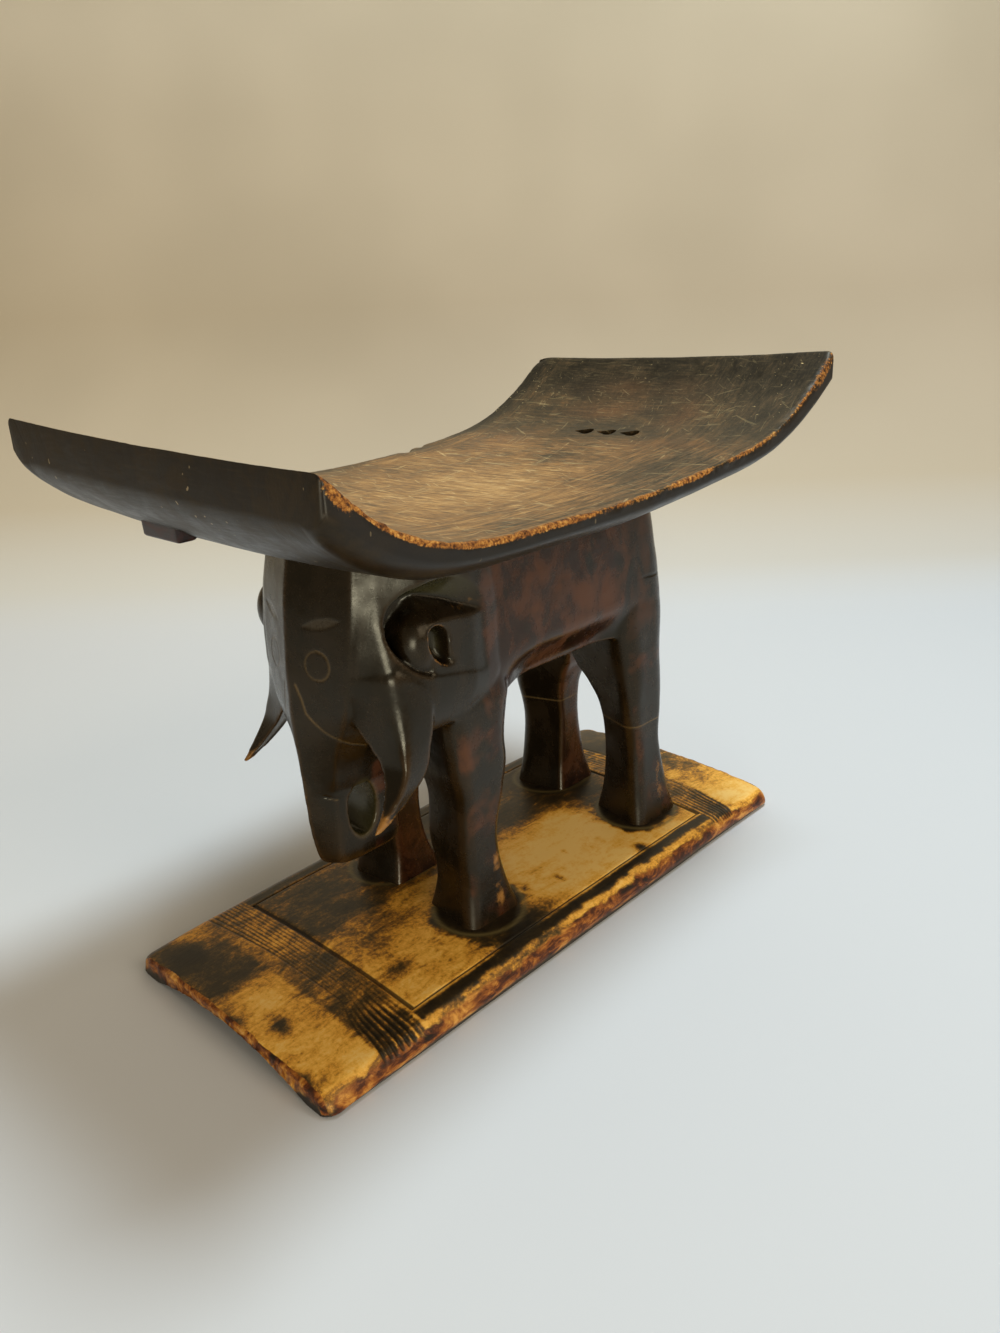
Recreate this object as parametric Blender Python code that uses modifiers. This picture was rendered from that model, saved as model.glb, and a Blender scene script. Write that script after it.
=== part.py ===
"""An Ashanti elephant stool, carved with a curved seat on an elephant's back.

Metres, +Z up. X runs across the stool, Y along it, and the elephant faces -Y. The origin is on
the floor under the middle of the seat. The real stool is one block of wood; here each member
that a carver would name is a solid of its own, and members meet with CLEARANCE between them.
Places in the tables are shares of the sizes that they follow.
"""
import math

import bmesh
import bpy
import numpy as np
from mathutils import Vector

MM = 0.001
DEGREE = math.pi / 180

# Fit between members, and how far a cutter runs past what it cuts
CLEARANCE = 0.3 * MM
OVERRUN = 6 * MM

# Base board: domed on top, vaulted underneath, thinner at both ends
BASE_LENGTH = 520 * MM
BASE_WIDTH = 229 * MM
BASE_CROWN = 24 * MM
BASE_END_FALL = 4.0 * MM
BASE_DOME = 4.6 * MM
BASE_SIDE_ROUND = 13 * MM
BASE_SIDE_DROP = 12 * MM
BASE_FOOT_CHAMFER = 3 * MM
BASE_FOOT_STRIP = 13.5 * MM
BASE_CORNER = 9 * MM
BASE_TURN_SHARE = 0.8
VAULT_RISE = 13.5 * MM
BORDER_FROM_SIDE = 21.5 * MM
BORDER_FROM_END = 89 * MM
BORDER_CUT_WIDTH = 1.8 * MM
BORDER_CUT_DEPTH = 1.4 * MM

# Body: a barrel from neck to rump. All of it stands a little off the board's middle line.
BELLY_HEIGHT = 198 * MM
BODY_DEPTH = 130 * MM
TORSO_WIDTH = 142 * MM
NECK_PLACE = -108 * MM
TORSO_LENGTH = 268 * MM
RUMP_ROUND = 22 * MM
NECK_ROUND = 14 * MM
BELLY_ROUND = 12 * MM
BELLY_FADE_SHARE = 0.12
STANCE_SHIFT = -2.5 * MM

# Seat: nearly flat in the middle, curled up at both ends, with a slight lean and twist
SEAT_LENGTH = 520 * MM
SEAT_WIDTH = 300 * MM
SEAT_RISE = 66 * MM
SEAT_DISH = 2.5 * MM
SEAT_RIM = 9 * MM
SEAT_TIP_GAIN = 9 * MM
SEAT_BEVEL_WIDTH = 18 * MM
SEAT_BEVEL_DROP = 11 * MM
SEAT_KEEL = 6 * MM
SEAT_EASE = 1.2 * MM
SEAT_SKEW = 1.6 * DEGREE
SEAT_LEAN = 9 * MM
SEAT_TWIST = 7.7 * MM
SEAT_LOW = BELLY_HEIGHT + BODY_DEPTH + SEAT_RIM
SEAT_DEPTH = SEAT_RIM + SEAT_BEVEL_DROP + SEAT_KEEL

# Row of drop-shaped piercings through the seat behind the rump
PIERCING_LENGTH = 17 * MM
PIERCING_WIDTH = 7 * MM
PIERCING_PITCH = 22 * MM
PIERCING_COUNT = 3
PIERCING_FROM_END = 99 * MM
PIERCING_SHIFT = 4 * MM

# Block under the front rim
LUG_LENGTH = 40 * MM
LUG_THICKNESS = 14 * MM
LUG_DROP = 8 * MM
LUG_FROM_END = 42 * MM
LUG_FROM_MIDDLE = 49 * MM

# Legs: every leg is drawn in one box, LEG_WIDTH across and FOOT_DEPTH along the stool
LEG_WIDTH = 46 * MM
LEG_PROUD = 1 * MM
FOOT_DEPTH = 52 * MM
FRONT_FOOT_FROM_NECK = 21 * MM
REAR_FOOT_FROM_RUMP = 46 * MM
LEG_CORNER = 9 * MM
LEG_INSET = TORSO_WIDTH / 2 + LEG_PROUD - LEG_WIDTH
FRONT_FOOT_PLACE = NECK_PLACE + FRONT_FOOT_FROM_NECK
REAR_FOOT_PLACE = NECK_PLACE + TORSO_LENGTH - REAR_FOOT_FROM_RUMP

# Head
HEAD_WIDTH = 108 * MM
HEAD_DEPTH = 69 * MM
JAW_BELOW_BELLY = 48 * MM
RIDGE_ROUND = 1.6 * MM
BROW_ROUND = 9 * MM
CHEEK_ROUND = 14 * MM
HEAD_BACK_ROUND = 3 * MM
TRUNK_SPLIT = BELLY_HEIGHT - JAW_BELOW_BELLY

# Trunk end and the opening that it curls round
TRUNK_LENGTH = 61 * MM
CURL_WIDTH = 23 * MM
CURL_HEIGHT = 42 * MM
CURL_LIFT = 2 * MM
CURL_FROM_NECK = 30 * MM

# Tusks
TUSK_PROUD = 22 * MM
TUSK_REACH = 63 * MM
TUSK_TIP_BELOW_BELLY = 46 * MM
TUSK_RISE = 58 * MM
TUSK_RIDGE_ROUND = 2.6 * MM
TUSK_EDGE_ROUND = 1.4 * MM
TUSK_SPREAD = HEAD_WIDTH / 2 + TUSK_PROUD
TUSK_TIP_HEIGHT = BELLY_HEIGHT - TUSK_TIP_BELOW_BELLY

# Ears
EAR_LENGTH = 88 * MM
EAR_HEIGHT = 79 * MM
EAR_FROM_NECK = 42 * MM
EAR_UNDERCUT = 20 * MM
EAR_PROUD = 4 * MM
EAR_SINK = 8 * MM
EAR_FRONT_ROUND = 34 * MM
EAR_REAR_ROUND = 8 * MM
EAR_EDGE = 3 * MM
EAR_SCOOP_TILT = -6 * DEGREE
EAR_OUT = TORSO_WIDTH / 2 + EAR_PROUD
EAR_ROOT = HEAD_WIDTH / 2 - EAR_SINK
EAR_MIDDLE_SHARE = 0.5

# Facets, and how much of a side its rounded corners may take
CORNER_STEPS = 4
CORNER_REACH_SHARE = 0.48
CROSS_STEPS = 24
LENGTH_STEPS = 18
SIDE_STEPS = 12
OVAL_STEPS = 24

# Seat's top from front end to rear end: share of half SEAT_LENGTH, share of SEAT_RISE
SEAT_LINE_SHARES = (
    (-1.00, 0.995),
    (-0.92, 0.680),
    (-0.84, 0.452),
    (-0.76, 0.292),
    (-0.68, 0.185),
    (-0.56, 0.098),
    (-0.38, 0.042),
    (-0.06, 0.000),
    (0.20, 0.026),
    (0.40, 0.081),
    (0.56, 0.150),
    (0.68, 0.245),
    (0.76, 0.352),
    (0.84, 0.500),
    (0.92, 0.692),
    (1.00, 0.942),
)

# Seat across its half: share of half SEAT_WIDTH, and of SEAT_DISH above or SEAT_KEEL below. The
# keel fades by its share toward the ends.
SEAT_TOP_SHARES = ((0.0, 1.0), (0.5, 0.75), (0.8, 0.36))
SEAT_UNDER_SHARES = ((0.6, 0.6), (0.3, 0.9), (0.0, 1.0))
KEEL_FADE_SHARE = 0.8

# Leg outline from foot to belly. Height is a share of the leg, front outer, front inner and
# rear are shares of FOOT_DEPTH behind the foot's front, inner and outer are shares of LEG_WIDTH.
FRONT_LEG_SHARES = (
    (0.00, -0.05, 0.06, 1.06, -0.20, 0.98),
    (0.17, 0.02, 0.18, 0.86, -0.10, 0.89),
    (0.38, 0.04, 0.23, 0.70, -0.05, 0.86),
    (0.58, 0.02, 0.20, 0.80, -0.08, 0.89),
    (0.72, -0.04, 0.10, 0.88, -0.25, 0.93),
    (0.82, -0.10, 0.00, 0.94, -0.50, 0.96),
    (1.00, -0.19, -0.12, 1.06, -0.62, 0.98),
)
REAR_LEG_SHARES = (
    (0.00, -0.02, 0.12, 1.11, -0.14, 1.05),
    (0.17, 0.02, 0.23, 0.95, -0.05, 0.96),
    (0.40, 0.02, 0.27, 0.80, -0.05, 0.90),
    (0.58, -0.12, 0.18, 0.79, -0.10, 0.92),
    (0.70, -0.18, 0.08, 0.81, -0.28, 0.95),
    (0.80, -0.22, -0.02, 0.82, -0.50, 0.97),
    (1.00, -0.36, -0.22, 0.84, -0.62, 0.99),
)

# Torso from belly to back: height share up to the seat, width share, rear share of TORSO_LENGTH
TORSO_SHARES = (
    (0.00, 0.985, 1.000),
    (0.20, 1.000, 0.992),
    (0.45, 1.000, 0.970),
    (0.70, 0.990, 0.945),
    (1.00, 0.955, 0.915),
)

# Head from jaw to crown: height share, ridge, brow and cheek places as shares of HEAD_DEPTH in
# front of the neck, brow and cheek widths as shares of half HEAD_WIDTH
HEAD_SHARES = (
    (0.00, 0.97, 0.72, 0.42, 0.27, 0.33),
    (0.14, 0.98, 0.75, 0.44, 0.40, 0.50),
    (0.27, 1.00, 0.78, 0.45, 0.60, 0.80),
    (0.38, 1.00, 0.78, 0.45, 0.76, 0.94),
    (0.56, 0.98, 0.74, 0.42, 0.86, 1.00),
    (0.76, 0.92, 0.68, 0.38, 0.88, 1.00),
    (1.00, 0.78, 0.56, 0.28, 0.82, 0.97),
)

# Trunk end from its tip to the mouth: the same places as in the head, and the back's place
TRUNK_SHARES = (
    (0.00, 0.68, 0.62, 0.52, 0.12, 0.16, 0.22),
    (0.05, 0.80, 0.68, 0.50, 0.20, 0.24, 0.08),
    (0.16, 0.87, 0.72, 0.48, 0.24, 0.29, 0.00),
    (0.45, 0.93, 0.72, 0.44, 0.25, 0.31, 0.00),
    (1.00, 0.97, 0.72, 0.42, 0.27, 0.33, 0.02),
)

# Tusk sections from root to tip: height as a share of TUSK_RISE, then ridge, inner edge, back and
# rear edge, each as a share of TUSK_SPREAD out and of TUSK_REACH in front of the neck
TUSK_SHARES = (
    (1.72, 0.75, 0.55, 0.55, 0.66, 0.55, 0.22, 0.72, 0.28),
    (1.38, 0.87, 0.57, 0.48, 0.66, 0.52, 0.04, 0.93, 0.12),
    (1.00, 0.97, 0.59, 0.49, 0.68, 0.56, 0.08, 0.99, 0.14),
    (0.83, 1.01, 0.57, 0.55, 0.69, 0.66, 0.22, 0.99, 0.16),
    (0.66, 1.03, 0.59, 0.66, 0.68, 0.84, 0.37, 0.99, 0.18),
    (0.48, 1.05, 0.64, 0.76, 0.70, 0.89, 0.42, 0.99, 0.21),
    (0.31, 1.06, 0.73, 0.84, 0.78, 0.93, 0.53, 0.99, 0.34),
    (0.14, 1.04, 0.89, 0.91, 0.88, 0.96, 0.69, 0.99, 0.54),
    (0.06, 1.02, 0.95, 0.96, 0.95, 0.985, 0.80, 0.995, 0.66),
    (0.00, 1.01, 0.99, 0.99, 0.99, 0.998, 0.95, 1.00, 0.92),
)

# Ear plate's corners from low front round to high front: shares of EAR_LENGTH and EAR_HEIGHT
EAR_CORNER_SHARES = ((0.03, 0.24), (1.00, 0.00), (0.97, 0.84), (0.00, 0.98))

# Parts of the ear: place out, along and up, then size the same ways, as shares of EAR_OUT,
# EAR_LENGTH and EAR_HEIGHT
EAR_BULB_SHARES = (0.87, 0.28, 0.48, 0.17, 0.21, 0.29)
EAR_SCOOP_SHARES = (1.02, 0.50, 0.74, 0.22, 0.34, 0.15)
EAR_PIT_SHARES = (1.00, 0.51, 0.43, 0.16, 0.09, 0.15)

# Half outline of a drop-shaped piercing, point first: along and across
DROP_SHARES = ((0.0, 0.0), (0.35, 0.26), (0.62, 0.46), (0.82, 0.50), (0.95, 0.34), (1.0, 0.0))


def start_scene():
    """Empty the scene and make one collection for the stool and one for its cutters."""
    for old in list(bpy.data.objects):
        bpy.data.objects.remove(old, do_unlink=True)
    made = []
    for name in ("elephant_stool", "cutters"):
        group = bpy.data.collections.new(name)
        bpy.context.scene.collection.children.link(group)
        made.append(group)
    return made


STOOL, CUTTERS = start_scene()


def wood(name, colour, roughness):
    """A plain wood material."""
    material = bpy.data.materials.new(name)
    material.use_nodes = True
    shader = material.node_tree.nodes["Principled BSDF"]
    shader.inputs["Base Color"].default_value = (*colour, 1)
    shader.inputs["Roughness"].default_value = roughness
    shader.inputs["Metallic"].default_value = 0
    return material


def place(name, mesh, material=None):
    """Put a mesh in the scene as a member, or as a cutter where it has no material."""
    piece = bpy.data.objects.new(name, mesh)
    if material:
        STOOL.objects.link(piece)
        mesh.materials.append(material)
        mesh.shade_smooth()
        mesh.set_sharp_from_angle(angle=32 * DEGREE)
    else:
        CUTTERS.objects.link(piece)
        piece.hide_render = True
        piece.display_type = 'WIRE'
    return piece


def finish_mesh(name, form):
    """Close a bmesh into a mesh with its faces pointing out."""
    bmesh.ops.recalc_face_normals(form, faces=form.faces)
    mesh = bpy.data.meshes.new(name)
    form.to_mesh(mesh)
    form.free()
    return mesh


def loft(name, rings, material=None):
    """A solid through rings of the same number of points, capped at both ends."""
    form = bmesh.new()
    rows = [[form.verts.new(point) for point in ring] for ring in rings]
    count = len(rows[0])
    for lower, upper in zip(rows, rows[1:]):
        for i in range(count):
            j = (i + 1) % count
            form.faces.new((lower[i], lower[j], upper[j]))
            form.faces.new((lower[i], upper[j], upper[i]))
    form.faces.new(list(reversed(rows[0])))
    form.faces.new(rows[-1])
    return place(name, finish_mesh(name, form), material)


def rounded(corners, radii, parts=None):
    """The points of a closed outline whose corners are arcs and whose sides may be in parts."""
    arcs = []
    for i, corner in enumerate(corners):
        here = Vector(corner)
        before = Vector(corners[i - 1]) - here
        after = Vector(corners[(i + 1) % len(corners)]) - here
        half = before.angle(after) / 2
        room = CORNER_REACH_SHARE * min(before.length, after.length)
        reach = min(radii[i] / math.tan(half), room)
        radius = reach * math.tan(half)
        middle = here + (before.normalized() + after.normalized()).normalized() * radius / math.sin(half)
        start = here + before.normalized() * reach - middle
        sweep = math.pi - 2 * half
        side = 1 if before.x * after.y - before.y * after.x < 0 else -1
        arc = []
        for step in range(CORNER_STEPS + 1):
            turn = side * sweep * step / CORNER_STEPS
            x = start.x * math.cos(turn) - start.y * math.sin(turn)
            y = start.x * math.sin(turn) + start.y * math.cos(turn)
            arc.append(middle + Vector((x, y)))
        arcs.append(arc)
    points = []
    for i, arc in enumerate(arcs):
        points += arc
        count = parts[i] if parts else 1
        following = arcs[(i + 1) % len(arcs)][0]
        points += [arc[-1].lerp(following, step / count) for step in range(1, count)]
    return points


def smooth_rows(table, steps):
    """Rows of a table read along a smooth curve, with a number of steps between its rows."""
    rows = []
    last = len(table) - 1
    for i in range(last):
        a = table[max(i - 1, 0)]
        b = table[i]
        c = table[i + 1]
        d = table[min(i + 2, last)]
        for step in range(steps):
            t = step / steps
            row = []
            for p, q, r, s in zip(a, b, c, d):
                bend = (2 * p - 5 * q + 4 * r - s) * t * t + (3 * q - p - 3 * r + s) * t ** 3
                row.append((2 * q + (r - p) * t + bend) / 2)
            rows.append(row)
    rows.append(list(table[-1]))
    return rows


def grown(piece, amount):
    """A cutter the shape of a piece, larger by an amount all round."""
    mesh = piece.data.copy()
    form = bmesh.new()
    form.from_mesh(mesh)
    moves = [(vert, vert.normal * amount * vert.calc_shell_factor()) for vert in form.verts]
    for vert, move in moves:
        vert.co += move
    form.to_mesh(mesh)
    form.free()
    mesh.materials.clear()
    cutter = place(piece.name + "_room", mesh)
    cutter.matrix_world = piece.matrix_world
    return cutter


def combine(piece, other, operation='DIFFERENCE'):
    """Cut a piece with another, or join the other to it."""
    change = piece.modifiers.new(other.name, 'BOOLEAN')
    change.operation = operation
    change.solver = 'EXACT'
    change.object = other


def oval(name, centre, radii, tilt=0):
    """An egg-shaped piece, tilted about X."""
    form = bmesh.new()
    bmesh.ops.create_uvsphere(form, u_segments=20, v_segments=12, radius=1)
    bmesh.ops.scale(form, vec=radii, verts=form.verts)
    piece = place(name, finish_mesh(name, form))
    piece.location = centre
    piece.rotation_euler.x = tilt
    return piece


# Base board

def base_top(x, y):
    """Height of the board's domed top, without its rounded sides."""
    along = abs(y) / (BASE_LENGTH / 2)
    across = x / (BASE_WIDTH / 2)
    return BASE_CROWN - BASE_END_FALL * along ** 4 - BASE_DOME * across ** 2 * (1 + along ** 2 / 2)


def base_ring(y):
    """The board's outline across the stool, over the dome and back through the vault."""
    into_corner = max(abs(y) - BASE_LENGTH / 2 + BASE_CORNER, 0) / BASE_CORNER
    half = BASE_WIDTH / 2 - BASE_CORNER * (1 - math.sqrt(1 - into_corner ** 2))
    points = []
    flat = half - BASE_SIDE_ROUND
    for step in range(CROSS_STEPS + 1):
        x = flat * (1 - 2 * step / CROSS_STEPS)
        points.append((x, y, base_top(x, y)))
    edge = base_top(flat, y)
    quarter = [math.pi / 2 * step / CORNER_STEPS for step in range(1, CORNER_STEPS + 1)]
    side = []
    for turn in quarter:
        out = flat + BASE_SIDE_ROUND * math.sin(turn)
        side.append((out, edge - BASE_SIDE_DROP * (1 - math.cos(turn))))
    side.append((half - BASE_FOOT_CHAMFER, 0))
    points += [(-x, y, z) for x, z in side]
    vault = half - BASE_FOOT_CHAMFER - BASE_FOOT_STRIP
    for step in range(CROSS_STEPS + 1):
        x = vault * (2 * step / CROSS_STEPS - 1)
        rise = VAULT_RISE * (1 - (x / vault) ** 2)
        points.append((x, y, rise))
    points += [(x, y, z) for x, z in reversed(side)]
    return points


def cut_line(name, start, end):
    """A strip that follows the board's top, to cut a line in it."""
    run = Vector(end) - Vector(start)
    side = Vector((-run.y, run.x)).normalized() * BORDER_CUT_WIDTH / 2
    run_in = run.normalized() * BORDER_CUT_WIDTH / 2
    first = Vector(start) - run_in
    last = Vector(end) + run_in
    rings = []
    for step in range(CORNER_STEPS * 2 + 1):
        spot = first.lerp(last, step / (CORNER_STEPS * 2))
        top = base_top(spot.x, spot.y)
        low = top - BORDER_CUT_DEPTH
        high = top + OVERRUN
        left = spot + side
        right = spot - side
        rings.append(((left.x, left.y, low), (right.x, right.y, low),
                      (right.x, right.y, high), (left.x, left.y, high)))
    return loft(name, rings)


def make_base():
    straight = BASE_LENGTH / 2 - BASE_CORNER
    rear = [straight + BASE_CORNER * math.sin(math.pi / 2 * step / CORNER_STEPS * BASE_TURN_SHARE)
            for step in range(1, CORNER_STEPS + 1)]
    rows = [-y for y in reversed(rear)]
    rows += [straight * (2 * step / LENGTH_STEPS - 1) for step in range(LENGTH_STEPS + 1)]
    rows += rear
    board = loft("base", [base_ring(y) for y in rows], wood("worn_base", (0.42, 0.22, 0.07), 0.5))
    x = BASE_WIDTH / 2 - BORDER_FROM_SIDE
    y = BASE_LENGTH / 2 - BORDER_FROM_END
    corners = [(-x, -y), (x, -y), (x, y), (-x, y)]
    for i, corner in enumerate(corners):
        combine(board, cut_line(f"border_cut_{i + 1}", corner, corners[(i + 1) % 4]))
    return board


# Seat

SEAT_LINE = smooth_rows(SEAT_LINE_SHARES, 2)


def seat_rise(y):
    """Rise of the seat's top above its lowest place, along its length."""
    alongs, rises = zip(*SEAT_LINE)
    return SEAT_RISE * np.interp(2 * y / SEAT_LENGTH, alongs, rises)


def seat_point(x, y, drop):
    """A point at a depth below the seat's top, on the seat's slight lean and twist."""
    along = 2 * y / SEAT_LENGTH
    lean = (SEAT_LEAN * (1 - along ** 2) + SEAT_TWIST * along) / SEAT_WIDTH
    return (x, y, seat_rise(y) - drop + lean * x)


def seat_ring(y):
    """The seat's outline across the stool at one place along it."""
    half = SEAT_WIDTH / 2
    curl = (2 * abs(y) / SEAT_LENGTH) ** 4
    rim = SEAT_RIM + SEAT_TIP_GAIN * curl
    bevel = rim + SEAT_BEVEL_DROP * (1 - curl / 2)
    keel = SEAT_KEEL * (1 - KEEL_FADE_SHARE * curl)
    middle_x = half - SEAT_BEVEL_WIDTH / 2
    right = [(half * across, SEAT_DISH * dish) for across, dish in SEAT_TOP_SHARES]
    right += [(half - SEAT_EASE, 0), (half, SEAT_EASE), (half, rim), (middle_x, (rim + 2 * bevel) / 3)]
    right.append((half - SEAT_BEVEL_WIDTH, bevel))
    right += [(half * across, bevel + keel * share) for across, share in SEAT_UNDER_SHARES]
    left = [(-x, drop) for x, drop in reversed(right[1:-1])]
    return [seat_point(x, y, drop) for x, drop in right + left]


def turn_with_seat(piece):
    """Set a piece at the seat's height and give it the seat's skew."""
    piece.rotation_euler.z = SEAT_SKEW
    piece.location.z = SEAT_LOW


def make_piercing(name, x):
    """A drop-shaped cutter through the seat, its point toward -X."""
    y = SEAT_LENGTH / 2 - PIERCING_FROM_END
    outline = [((along - 0.5) * PIERCING_LENGTH, across * PIERCING_WIDTH) for along, across in DROP_SHARES]
    outline += [(along, -across) for along, across in reversed(outline[1:-1])]
    low = -SEAT_DEPTH - OVERRUN
    high = seat_rise(y) + OVERRUN
    cutter = loft(name, [[(x + along, y + across, z) for along, across in outline] for z in (low, high)])
    turn_with_seat(cutter)
    return cutter


def make_seat():
    half = SEAT_LENGTH / 2
    rings = [seat_ring(half * along) for along, rise in SEAT_LINE]
    seat = loft("seat", rings, wood("worn_seat", (0.10, 0.055, 0.025), 0.35))
    turn_with_seat(seat)
    bpy.context.view_layer.update()
    room = grown(seat, CLEARANCE)
    for i in range(PIERCING_COUNT):
        x = PIERCING_SHIFT + (i - (PIERCING_COUNT - 1) / 2) * PIERCING_PITCH
        combine(seat, make_piercing(f"piercing_{i + 1}", x))
    return seat, room


def make_lug(seat_room, material):
    """The small block that hangs under the front rim."""
    y = LUG_FROM_END - SEAT_LENGTH / 2
    x = -LUG_FROM_MIDDLE
    half_x = LUG_LENGTH / 2
    half_y = LUG_THICKNESS / 2
    rings = []
    for drop in (SEAT_DEPTH + LUG_DROP, SEAT_RIM):
        height = seat_point(x, y, drop)[2]
        rings.append([(x - half_x, y - half_y, height), (x + half_x, y - half_y, height),
                      (x + half_x, y + half_y, height), (x - half_x, y + half_y, height)])
    lug = loft("seat_lug", rings, material)
    turn_with_seat(lug)
    ease = lug.modifiers.new("ease", 'BEVEL')
    ease.width = SEAT_EASE
    ease.segments = 2
    combine(lug, seat_room)


# Body and legs

def up_to_seat(points, low, share):
    """Points of a level outline, raised a share of the way from a height to the seat's middle."""
    return [(x, y, low + (SEAT_LOW + seat_rise(y) - SEAT_RIM - low) * share) for x, y in points]


def make_torso(seat_room, material):
    """The barrel of the body, drawn in sections from the belly up and cut off by the seat."""
    rings = []
    for height, width, rear in smooth_rows(TORSO_SHARES, 2):
        half = TORSO_WIDTH / 2 * width
        rear_y = NECK_PLACE + TORSO_LENGTH * rear
        corners = [(half, NECK_PLACE), (half, rear_y), (-half, rear_y), (-half, NECK_PLACE)]
        radii = [NECK_ROUND, RUMP_ROUND, RUMP_ROUND, NECK_ROUND]
        outline = rounded(corners, radii, (SIDE_STEPS, 1, SIDE_STEPS, 1))
        shifted = [(x + STANCE_SHIFT, y) for x, y in outline]
        rings.append(up_to_seat(shifted, BELLY_HEIGHT + CLEARANCE / 2, height))
    torso = loft("torso", rings, material)
    combine(torso, seat_room)
    front = FRONT_FOOT_PLACE + FOOT_DEPTH * FRONT_LEG_SHARES[-1][3]
    rear = REAR_FOOT_PLACE + FOOT_DEPTH * REAR_LEG_SHARES[-1][1]
    for side_name, side in (("right", 1), ("left", -1)):
        combine(torso, belly_round(f"belly_round_{side_name}", side, front, rear))
    return torso


def belly_round(name, side, front, rear):
    """A cutter that rounds the belly's lower edge between the legs and runs out at both."""
    edge = TORSO_WIDTH / 2 * TORSO_SHARES[0][1]
    low = BELLY_HEIGHT
    levels = ((front, BELLY_FADE_SHARE), (front + BELLY_ROUND, 1), (rear - BELLY_ROUND, 1),
              (rear, BELLY_FADE_SHARE))
    rings = []
    for y, share in levels:
        radius = BELLY_ROUND * share
        outline = [(edge + OVERRUN, low - OVERRUN), (edge + OVERRUN, low + radius)]
        for step in range(CORNER_STEPS + 1):
            turn = math.pi / 2 * step / CORNER_STEPS
            x = edge - radius * (1 - math.cos(turn)) + CLEARANCE * math.cos(turn)
            outline.append((x, low + radius * (1 - math.sin(turn))))
        outline.append((edge - radius, low - OVERRUN))
        rings.append([(side * x + STANCE_SHIFT, y, z) for x, z in outline])
    return loft(name, rings)


def make_leg(name, side, foot_place, table, base_room, material):
    """One leg, from the board to the belly. Above the arch it meets its partner."""
    low = (VAULT_RISE + BASE_CROWN) / 2
    rings = []
    for row in smooth_rows(table, 3):
        height, front_outer, front_inner, rear, inner, outer = row
        z = low + (BELLY_HEIGHT - CLEARANCE / 2 - low) * height
        x_in = max(LEG_INSET + LEG_WIDTH * inner, CLEARANCE / 2)
        x_out = LEG_INSET + LEG_WIDTH * outer
        corners = [(x_out, foot_place + FOOT_DEPTH * front_outer), (x_out, foot_place + FOOT_DEPTH * rear),
                   (x_in, foot_place + FOOT_DEPTH * rear), (x_in, foot_place + FOOT_DEPTH * front_inner)]
        joined = min((x_in - CLEARANCE / 2) / LEG_CORNER, 1)
        inner_round = max(LEG_CORNER * joined, CLEARANCE)
        radii = [LEG_CORNER, LEG_CORNER, inner_round, inner_round]
        rings.append([(side * x + STANCE_SHIFT, y, z) for x, y in rounded(corners, radii)])
    leg = loft(name, rings, material)
    combine(leg, base_room)


# Head, trunk, tusks and ears

def face_outline(ridge, brow, cheek, brow_width, cheek_width, back):
    """A level section of the head: a blunt wedge with its ridge in front."""
    half = HEAD_WIDTH / 2
    right = [(half * brow_width, NECK_PLACE - HEAD_DEPTH * brow),
             (half * cheek_width, NECK_PLACE - HEAD_DEPTH * cheek),
             (half * cheek_width, NECK_PLACE - HEAD_DEPTH * back - CLEARANCE)]
    left = [(-x, y) for x, y in reversed(right)]
    corners = [(0, NECK_PLACE - HEAD_DEPTH * ridge)] + right + left
    radii = [RIDGE_ROUND, BROW_ROUND, CHEEK_ROUND, HEAD_BACK_ROUND,
             HEAD_BACK_ROUND, CHEEK_ROUND, BROW_ROUND]
    return rounded(corners, radii)


def make_head(seat_room, material):
    """Forehead, cheeks and jaw in one wedge."""
    low = TRUNK_SPLIT + CLEARANCE / 2
    rings = [up_to_seat(face_outline(*shares, 0), low, height)
             for height, *shares in smooth_rows(HEAD_SHARES, 3)]
    head = loft("head", rings, material)
    room = grown(head, CLEARANCE)
    combine(head, seat_room)
    return head, room


def make_trunk_curl(material):
    """The trunk's end, which turns back under the mouth round an opening."""
    rings = []
    for height, *shares in smooth_rows(TRUNK_SHARES, 3):
        z = TRUNK_SPLIT - CLEARANCE / 2 - TRUNK_LENGTH * (1 - height)
        rings.append([(x, y, z) for x, y in face_outline(*shares)])
    curl = loft("trunk_curl", rings, material)
    form = bmesh.new()
    bmesh.ops.create_cone(form, cap_ends=True, segments=OVAL_STEPS, radius1=1, radius2=1, depth=2)
    bmesh.ops.scale(form, vec=(CURL_HEIGHT / 2, CURL_WIDTH / 2, HEAD_WIDTH / 2), verts=form.verts)
    opening = place("curl_opening", finish_mesh("curl_opening", form))
    opening.location = (0, NECK_PLACE - CURL_FROM_NECK, TRUNK_SPLIT + CURL_LIFT - CURL_HEIGHT / 2)
    opening.rotation_euler.y = math.pi / 2
    combine(curl, opening)


def make_tusk(name, side, head_room, material):
    """A horn that grows from the cheek: a ridge in front, a thin inner edge and a rear edge."""
    rings = []
    radii = (TUSK_RIDGE_ROUND, TUSK_EDGE_ROUND, TUSK_EDGE_ROUND, TUSK_EDGE_ROUND)
    width = TUSK_SHARES[1][1] - TUSK_SHARES[1][3]
    for height, *places in smooth_rows(TUSK_SHARES, 2):
        z = TUSK_TIP_HEIGHT + TUSK_RISE * height
        corners = [(TUSK_SPREAD * out, NECK_PLACE - TUSK_REACH * forward)
                   for out, forward in zip(places[::2], places[1::2])]
        slim = (places[0] - places[2]) / width
        outline = rounded(corners, [radius * slim for radius in radii])
        rings.append([(side * x, y, z) for x, y in outline])
    tusk = loft(name, rings, material)
    room = grown(tusk, CLEARANCE)
    combine(tusk, head_room)
    return room


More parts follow.
